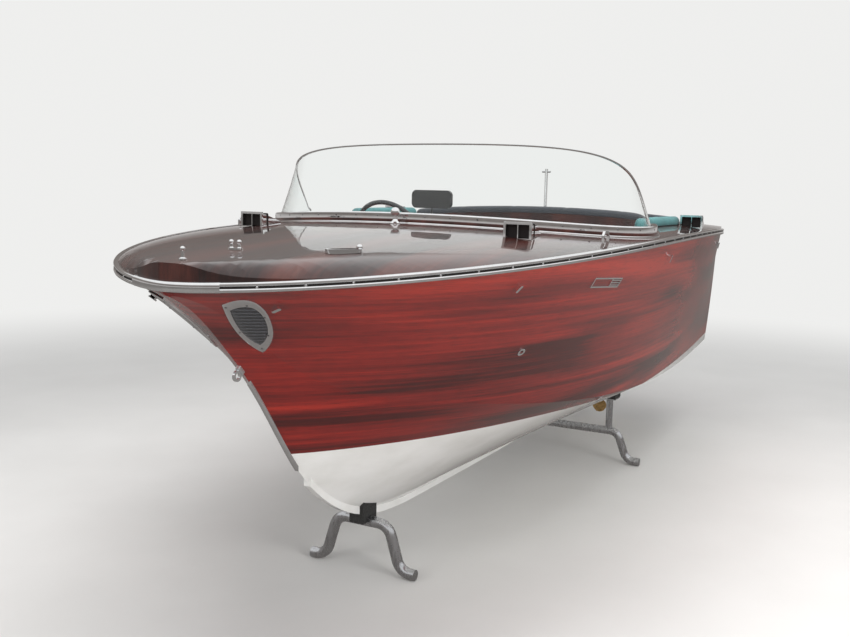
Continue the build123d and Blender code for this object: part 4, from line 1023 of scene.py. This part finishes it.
mesh = bmesh.new()
glass_steps = ((BEZEL_INSET + 0.01, -0.002), (BEZEL_INSET, 0.003), (0.6, 0.0055), (0.4, 0.007),
               (0.2, 0.0078))
glass_loops = [lamp_loop(mesh, size, proud) for size, proud in glass_steps]
bridge(mesh, glass_loops)
mesh.faces.new(glass_loops[-1])
mirrored(mesh)
lamp_panes = make_piece("lamp_panes", mesh, lamp_smoked)
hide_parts("bow_lamp_glasses")

mesh = bmesh.new()
for index, (column, row) in enumerate(LAMP_SCREWS_PX):
    landing, facing = seen_on_side(column, row)
    screw_head(mesh, landing + facing * (BEZEL_PROUD + 0.001), facing, LAMP_SCREW_R, index)
mirrored(mesh)
lamp_screws = make_piece("lamp_screws", mesh, dull_chrome)
print("lamp faces", faces_of(lamp_castings, lamp_panes, lamp_screws))

# %% [markdown]
# ## Ventilator throats
# A ventilator's mouth looks black because its duct runs down into the hull, in shade. A near-black sheet
# set back inside each mouth paints that shade, with its front edge rounded.

# %% Throats
THROAT_HALF_WIDTH = 0.050
THROAT_SET_BACK = 0.016
THROAT_DEEP = 0.045
THROAT_MARGIN = 0.006
THROAT_ROUND = 0.008
THROAT_STEPS = 8
FORE_THROAT_Y = 0.655
AFT_THROAT_Y = 0.925
AHEAD = Vector((1, 0, 0))


def throat_shade_sheets(name, node_name, side_y):
    """Near-black sheets set inside a pair of ventilators' mouths: painted shade of the ducts."""
    low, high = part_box(node_name)
    section = soft_box(-THROAT_DEEP, 0, 0, high[2] - low[2] - 2 * THROAT_MARGIN, THROAT_ROUND)
    line = []
    for step in range(THROAT_STEPS + 1):
        y = side_y - THROAT_HALF_WIDTH + 2 * THROAT_HALF_WIDTH * step / THROAT_STEPS
        line.append(Vector((high[0] - THROAT_SET_BACK, y, low[2] + THROAT_MARGIN)))
    mesh = bmesh.new()
    sweep(mesh, line, [AHEAD] * len(line), section)
    mirrored(mesh)
    return make_piece(name, mesh, painted_shade_black)


fore_throat_shade = throat_shade_sheets("fore_throat_shade", "ventilators_fore", FORE_THROAT_Y)
aft_throat_shade = throat_shade_sheets("aft_throat_shade", "ventilators_aft", AFT_THROAT_Y)
print("throat faces", faces_of(fore_throat_shade, aft_throat_shade))

# %% [markdown]
# ## Dials, mirror and wheel hub
# Each dial gets a polished bezel, a ring of ticks and a needle. The mirror gets its silvered glass on the
# side that faces the driver, and the wheel a turned cap that goes round with it.

# %% Dials
DIAL_Y = (-0.1575, -0.0525, 0.0525, 0.1575)
FINE_AROUND = 40
TICKS = 11
LONG_TICK_EVERY = 5
FIRST_TICK = -130
TICK_SPAN = 260
FIRST_NEEDLE = -110
NEXT_NEEDLE = 47
MARK_THICK = 0.0012
dial_low, dial_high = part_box("gauges")
dial_z = middle_of(dial_low, dial_high)[2]
bezel_outline = [(0.0385, -0.001), (0.0425, -0.001), (0.0430, 0.003), (0.0410, 0.0055),
                 (0.0380, 0.0045), (0.0372, 0.0), (0.0385, -0.001)]


def dial_place(y, turn, radius, lift=0.0):
    """A place on a dial's face."""
    return Vector((dial_low[0] - lift, y + radius * math.sin(turn), dial_z + radius * math.cos(turn)))


def flat_mark(mesh, y, turn, inner, outer, half_width, lift):
    """A thin raised bar pointing out from a dial's middle, half as wide at its outer end."""
    sideways = Vector((0, math.cos(turn), -math.sin(turn))) * half_width
    near = dial_place(y, turn, inner, lift)
    far = dial_place(y, turn, outer, lift)
    ring = [near - sideways, far - sideways * 0.5, far + sideways * 0.5, near + sideways]
    ring_skin(mesh, [ring, [corner + AHEAD * MARK_THICK for corner in ring]])


mesh = bmesh.new()
for y in DIAL_Y:
    turned(mesh, Vector((dial_low[0], y, dial_z)), -AHEAD, bezel_outline, FINE_AROUND)
dial_bezels = make_piece("dial_bezels", mesh, chrome)

mesh = bmesh.new()
for index, y in enumerate(DIAL_Y):
    for tick in range(TICKS):
        turn = math.radians(FIRST_TICK + TICK_SPAN * tick / (TICKS - 1))
        inner = 0.027 if tick % LONG_TICK_EVERY else 0.024
        flat_mark(mesh, y, turn, inner, outer=0.033, half_width=0.0008, lift=0.0006)
    turn = math.radians(FIRST_NEEDLE + NEXT_NEEDLE * index)
    flat_mark(mesh, y, turn, inner=-0.006, outer=0.029, half_width=0.0014, lift=0.0016)
dial_marks = make_piece("dial_marks", mesh, dial_white)
print("dials at height", round(dial_z, 3), "bezel and mark faces", faces_of(dial_bezels, dial_marks))

# %% Mirror glass
MIRROR_HALF = 0.096
MIRROR_TALL = 0.034
MIRROR_DOWN = 0.042
MIRROR_CORNERS = 48
MIRROR_SQUARE = 0.45   # 1 would give an ellipse
mirror_low, mirror_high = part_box("rear_view_mirror")
mirror_y = middle_of(mirror_low, mirror_high)[1]


def squared(value):
    """A sine or cosine drawn outward, so that the ring turns into a rectangle with round corners."""
    return math.copysign(abs(value) ** MIRROR_SQUARE, value)


rings = []
for scale, lift in ((1.0, -0.001), (1.0, 0.001), (0.96, 0.0022)):
    ring = []
    for k in range(MIRROR_CORNERS):
        turn = 2 * math.pi * k / MIRROR_CORNERS
        y = squared(math.cos(turn)) * MIRROR_HALF * scale + mirror_y
        z = squared(math.sin(turn)) * MIRROR_TALL * scale + mirror_high[2] - MIRROR_DOWN
        ring.append(Vector((mirror_low[0] - lift, y, z)))
    rings.append(ring)
mesh = bmesh.new()
ring_skin(mesh, rings)
mirror_glass = make_piece("mirror_glass", mesh, mirror_silver)
print("mirror glass faces", faces_of(mirror_glass))

# %% Hub cap
HUB_CENTRE = Vector((0.31, -0.42, 1.42))
HUB_AXIS = Vector((-0.88295, 0, 0.46947)).normalized()
HUB_ABOVE = 0.3
HUB_REACH = 0.8
hub_outline = [(0, -0.010), (0.030, -0.010), (0.031, 0.004), (0.027, 0.010), (0.018, 0.0145),
               (0.008, 0.0165), (0, 0.017)]
hub_face, _ = touch(skin_of("steering_wheel"), HUB_CENTRE + HUB_AXIS * HUB_ABOVE, -HUB_AXIS, HUB_REACH)
hub_seat = hub_face or HUB_CENTRE
mesh = bmesh.new()
turned(mesh, hub_seat, HUB_AXIS, hub_outline, FINE_AROUND)
hub_cap = make_piece("hub_cap", mesh, chrome, body="wheel")
print("hub cap at", rounded(hub_seat), "faces", faces_of(hub_cap))

# %% [markdown]
# ## Stuffed seats
# The bench has a long cushion and a back, both sewn in upright channels. A stuffed channel is high in
# its middle and pulled down at its seams, and the whole cushion falls away to a rounded edge. The shape
# is computed point by point from that description, which holds the sewing lines sharp.

# %% Cushion builder
CHANNEL_W = 0.098
SEAM_W = 0.007
SEAM_DEPTH = 0.012
PUFF = 0.006
BELLY = 0.012
EDGE_ROUND = 0.045
EDGE_CALM = 0.05
SIDE_SHARE = 0.55
WAIST_SHARE = 0.3
FOOT_SHARES = (0.985, 0.996)   # along and across
STEPS_ACROSS = 190
STEPS_ALONG = 56


def cushion_height(across, along, half_across, half_along):
    """Rounding of the edge and lift of the covering at a place on the cushion's face."""
    edge = min(half_across - abs(across), half_along - abs(along))
    roll = min(max(edge, 0) / EDGE_ROUND, 1)
    shoulder = math.sqrt(max(0.0, 1 - (1 - roll) ** 2))
    phase = (across / CHANNEL_W + 0.5) % 1 - 0.5
    seam = math.exp(-((0.5 - abs(phase)) * CHANNEL_W / SEAM_W) ** 2)
    puff = math.cos(math.pi * phase) * PUFF
    belly = BELLY * (1 - (along / half_along) ** 2) * (1 - (across / half_across) ** 4)
    inside = min(edge / EDGE_CALM, 1) if edge > 0 else 0
    return shoulder, belly + (puff - seam * SEAM_DEPTH) * inside


def stuffed_slab(half_across, half_along, thick):
    """Closed cushion centred on its base: X along its depth, Y across, Z up."""
    mesh = bmesh.new()
    rows = []
    for i in range(STEPS_ALONG + 1):
        along = -half_along + 2 * half_along * i / STEPS_ALONG
        row = []
        for j in range(STEPS_ACROSS + 1):
            across = -half_across + 2 * half_across * j / STEPS_ACROSS
            shoulder, lift = cushion_height(across, along, half_across, half_along)
            z = thick * (SIDE_SHARE + (1 - SIDE_SHARE) * shoulder) + lift
            row.append(mesh.verts.new((along, across, z)))
        rows.append(row)
    grid_skin(mesh, rows)
    border = outline_of(rows)
    waist = [mesh.verts.new((vertex.co.x, vertex.co.y, thick * WAIST_SHARE)) for vertex in border]
    drawn_along, drawn_across = FOOT_SHARES
    foot = []
    for vertex in border:
        foot.append(mesh.verts.new((vertex.co.x * drawn_along, vertex.co.y * drawn_across, 0.0)))
    bridge(mesh, [border, waist, foot])
    mesh.faces.new(foot)
    return mesh


print("channels are", CHANNEL_W, "m wide")

# %% Bench cushion
low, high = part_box("seat_cushion")
middle = middle_of(low, high)
mesh = stuffed_slab((high[1] - low[1]) / 2, (high[0] - low[0]) / 2, high[2] - low[2] - BELLY)
cushion_place = Matrix.Translation((middle[0], middle[1], low[2]))
bmesh.ops.transform(mesh, matrix=cushion_place, verts=mesh.verts)
bench_cushion = make_piece("bench_cushion", mesh, teal_cloth)
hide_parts("seat_cushion")
print("bench cushion faces", faces_of(bench_cushion))

# %% Bench back
BACK_THICK = 0.082
BACK_MARGIN = 0.004
BACK_LEANS = 0.042
BACK_AHEAD = 0.026
low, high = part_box("seat_back")
middle = middle_of(low, high)
mesh = stuffed_slab((high[1] - low[1]) / 2, (high[2] - low[2]) / 2 - BACK_MARGIN, BACK_THICK)
upright = math.pi / 2 - math.atan2(BACK_LEANS, high[2] - low[2])
back_place = Matrix.Translation((low[0] + BACK_AHEAD, middle[1], middle[2]))
back_place = back_place @ Matrix.Rotation(upright, 4, "Y")
bmesh.ops.transform(mesh, matrix=back_place, verts=mesh.verts)
bench_back = make_piece("bench_back", mesh, teal_cloth)
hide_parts("seat_back")
print("bench back from", rounded(bench_back.bound_box[0]), "to", rounded(bench_back.bound_box[6]))

# %% [markdown]
# ## Padded coaming and crown roll
# The cockpit's edge is padded with stuffed rolls, and a dark crowned band crosses the deck behind it.
# A roll is fat in its middle, drawn in at its stitched joints and closed by rounded ends. Each ring of it
# stands on the deck where it was touched.

# %% Roll builder
ROLL_STEPS = 150
ROLL_CORNERS = 22
END_ROUND = 0.9   # of the roll's height
END_STUB = 0.06   # of the roll's size
PINCH = 0.055
PINCH_W = 0.008
UNDERSIDE = 0.004
ROLL_UP = 0.003


def stuffed_roll(start, end, wide, tall, fullness, stitch_step):
    """Closed roll lying on the deck between two places in plan."""
    length = (end - start).length
    along = (end - start).normalized()
    across = Vector((-along.y, along.x, 0))
    rings = []
    for step in range(ROLL_STEPS + 1):
        part = step / ROLL_STEPS
        point = start.lerp(end, part)
        ground = seat_height(point.x, point.y)
        base = (ground if ground is not None else point.z) + ROLL_UP
        from_end = min(min(part, 1 - part) * length / (tall * END_ROUND), 1)
        end_size = math.sqrt(1 - (1 - from_end) ** 2) * (1 - END_STUB) + END_STUB
        phase = (part * length / stitch_step + 0.5) % 1 - 0.5
        pinch = 1 - PINCH * math.exp(-(phase * stitch_step / PINCH_W) ** 2)
        ring = []
        for corner in range(ROLL_CORNERS):
            turn = 2 * math.pi * corner / ROLL_CORNERS
            lift = math.sin(turn)
            rise = lift ** fullness * tall * end_size * pinch if lift > 0 else lift * UNDERSIDE
            out = math.cos(turn) * wide / 2 * end_size
            ring.append(Vector((point.x, point.y, base + rise)) + across * out)
        rings.append(ring)
    mesh = bmesh.new()
    ring_skin(mesh, rings)
    return mesh


print("corners in a roll", (ROLL_STEPS + 1) * ROLL_CORNERS)

# %% Coaming and crown rolls
ROLL_MARGIN = 0.002
COAMING_TALL = 0.043
COAMING_FULLNESS = 0.72
COAMING_STITCH = 0.18
CROWN_TALL = 0.036
CROWN_FULLNESS = 0.66
CROWN_STITCH = 0.332


def coaming_roll(name, node_name):
    """Padded roll that takes the place of one coaming pad."""
    low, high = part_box(node_name)
    middle_y = middle_of(low, high)[1]
    start = Vector((low[0] + ROLL_MARGIN, middle_y, low[2]))
    end = Vector((high[0] - ROLL_MARGIN, middle_y, low[2]))
    wide = high[1] - low[1] - ROLL_MARGIN
    mesh = stuffed_roll(start, end, wide, COAMING_TALL, COAMING_FULLNESS, COAMING_STITCH)
    roll = make_piece(name, mesh, teal_cloth, smooth_angle=60)
    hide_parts(node_name)
    return roll


port_roll = coaming_roll("coaming_roll_port", "coaming_pad_port")
starboard_roll = coaming_roll("coaming_roll_starboard", "coaming_pad_starboard")
low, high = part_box("aft_crown_pad")
crown_x = middle_of(low, high)[0]
start = Vector((crown_x, low[1] + ROLL_MARGIN, low[2]))
end = Vector((crown_x, high[1] - ROLL_MARGIN, low[2]))
wide = high[0] - low[0] - ROLL_MARGIN
crown_mesh = stuffed_roll(start, end, wide, CROWN_TALL, CROWN_FULLNESS, CROWN_STITCH)
crown_roll = make_piece("crown_roll", crown_mesh, dark_cloth, smooth_angle=60)
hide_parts("aft_crown_pad")
print("roll faces", faces_of(port_roll, starboard_roll, crown_roll))

# %% [markdown]
# ## Light and floor
# A plain pale floor keeps the shadow. The eye sees a pale backdrop, but what varnish and chrome
# mirror is a gradient: dim near the horizon and bright overhead. That keeps the deck dark and gives
# chrome its contrast, which an even white room would wash out.

# %% Studio world
BACKDROP = (0.86, 0.86, 0.85)
FILL_LIGHT = (0.95, 0.97, 1.0)
FILL_STRENGTH = 0.42
ROOM_STOPS = ((0.0, (0.50, 0.48, 0.47)), (0.09, (0.17, 0.15, 0.14)), (0.30, (0.28, 0.255, 0.24)),
              (0.38, (0.86, 0.86, 0.86)), (1.0, (1.0, 1.0, 1.0)))


def ray_kinds(tree):
    """1 for the eye's own rays, straight or through a clear sheet, and 1 for mirrored rays."""
    path = add_node(tree, "LightPath")
    eye = worked(tree, "MAXIMUM", path.outputs["Is Camera Ray"], path.outputs["Is Transmission Ray"])
    return eye, path.outputs["Is Glossy Ray"]


def glow(tree, kind, colour, strength=1.0):
    """Background or emission of one colour."""
    return add_node(tree, kind, {"Color": colour, "Strength": strength}).outputs[0]


def blend_shaders(tree, share, first, second):
    """Mix two shaders; the share is that of the second."""
    return add_node(tree, "MixShader", {0: share, 1: first, 2: second}).outputs[0]


def studio_world():
    """Pale surroundings for the eye, a graded room for reflections, dimmer light on the object."""
    world = bpy.data.worlds.new("studio")
    bpy.context.scene.world = world
    world.use_nodes = True
    tree = world.node_tree
    tree.nodes.clear()
    eye, mirrored_ray = ray_kinds(tree)
    height = height_of(tree, add_node(tree, "TexCoord").outputs["Generated"])
    room = glow(tree, "Background", ramp(tree, height, *ROOM_STOPS))
    lit = glow(tree, "Background", (*FILL_LIGHT, 1), FILL_STRENGTH)
    seen = glow(tree, "Background", (*BACKDROP, 1))
    around = blend_shaders(tree, mirrored_ray, lit, room)
    add_node(tree, "OutputWorld", {"Surface": blend_shaders(tree, eye, around, seen)})


studio_world()
print("world", bpy.context.scene.world.name)

# %% Floor
FLOOR_HALF = 40
FLOOR_DOWN = 0.0005
FLOOR_FADE = (3.2, 9.0)
FLOOR_TONES = ((0.70, 0.69, 0.67), (0.74, 0.73, 0.71))
MIRRORED_FLOOR = (0.17, 0.155, 0.145, 1)
MIRRORED_SHARE = 0.85


def floor_finish():
    """Pale floor for the eye that melts into the backdrop far out, darker where it is mirrored."""
    material, tree, shader = new_finish("studio_floor", Roughness=0.75)
    mottle = noise_of(tree, (1.5, 1.5, 1.5), 6.0)
    tone = ramp(tree, mottle, (0.3, FLOOR_TONES[0]), (0.7, FLOOR_TONES[1]))
    tree.links.new(tone, shader.inputs["Base Color"])
    here = add_node(tree, "TexCoord").outputs["Object"]
    away = add_node(tree, "VectorMath", {0: here}, operation="LENGTH").outputs["Value"]
    reach = {"Value": away, "From Min": FLOOR_FADE[0], "From Max": FLOOR_FADE[1]}
    fade = add_node(tree, "MapRange", reach, interpolation_type="SMOOTHSTEP").outputs["Result"]
    eye, mirrored_ray = ray_kinds(tree)
    melted = glow(tree, "Emission", (*BACKDROP, 1))
    seen = blend_shaders(tree, worked(tree, "MULTIPLY", fade, eye), shader.outputs[0], melted)
    dim = glow(tree, "Emission", MIRRORED_FLOOR)
    surface = blend_shaders(tree, worked(tree, "MULTIPLY", mirrored_ray, MIRRORED_SHARE), seen, dim)
    tree.links.new(surface, tree.nodes["Material Output"].inputs["Surface"])
    return material


def pale_floor():
    """Large plain floor."""
    mesh = bmesh.new()
    bmesh.ops.create_grid(mesh, x_segments=2, y_segments=2, size=FLOOR_HALF)
    data = bpy.data.meshes.new("studio_floor")
    mesh.to_mesh(data)
    mesh.free()
    data.materials.append(floor_finish())
    floor = bpy.data.objects.new("studio_floor", data)
    bpy.context.collection.objects.link(floor)
    floor.location.z = -FLOOR_DOWN
    return floor


studio_floor = pale_floor()
print("floor", studio_floor.name, "half width", FLOOR_HALF)

# %% [markdown]
# Three area lamps light the boat: one overhead, a key to port and a weak fill from the bow. They are
# hidden from reflections and from what is seen through the windshield, where they would show as white
# sheets.

# %% Lamps


def soft_lamp(name, stand, target, size, watts):
    """A large area lamp aimed at a point."""
    data = bpy.data.lights.new(name, "AREA")
    data.shape = "RECTANGLE"
    data.size, data.size_y = size
    data.energy = watts
    lamp = bpy.data.objects.new(name, data)
    bpy.context.collection.objects.link(lamp)
    lamp.location = stand
    lamp.rotation_euler = (Vector(target) - Vector(stand)).to_track_quat("-Z", "Y").to_euler()
    lamp.visible_glossy = False
    lamp.visible_transmission = False
    return lamp


overhead = soft_lamp("overhead", (0.5, 0.5, 5.0), (0, 0, 0.8), size=(6.5, 3.0), watts=300)
port_key = soft_lamp("port_key", (3.0, 6.0, 2.6), (0, 0, 0.9), size=(3.2, 3.6), watts=230)
bow_fill = soft_lamp("bow_fill", (6.5, -2.0, 2.4), (1, 0, 0.9), size=(3.0, 3.0), watts=100)
bpy.context.scene.view_settings.view_transform = "Standard"
print("lamps", overhead.name, port_key.name, bow_fill.name)
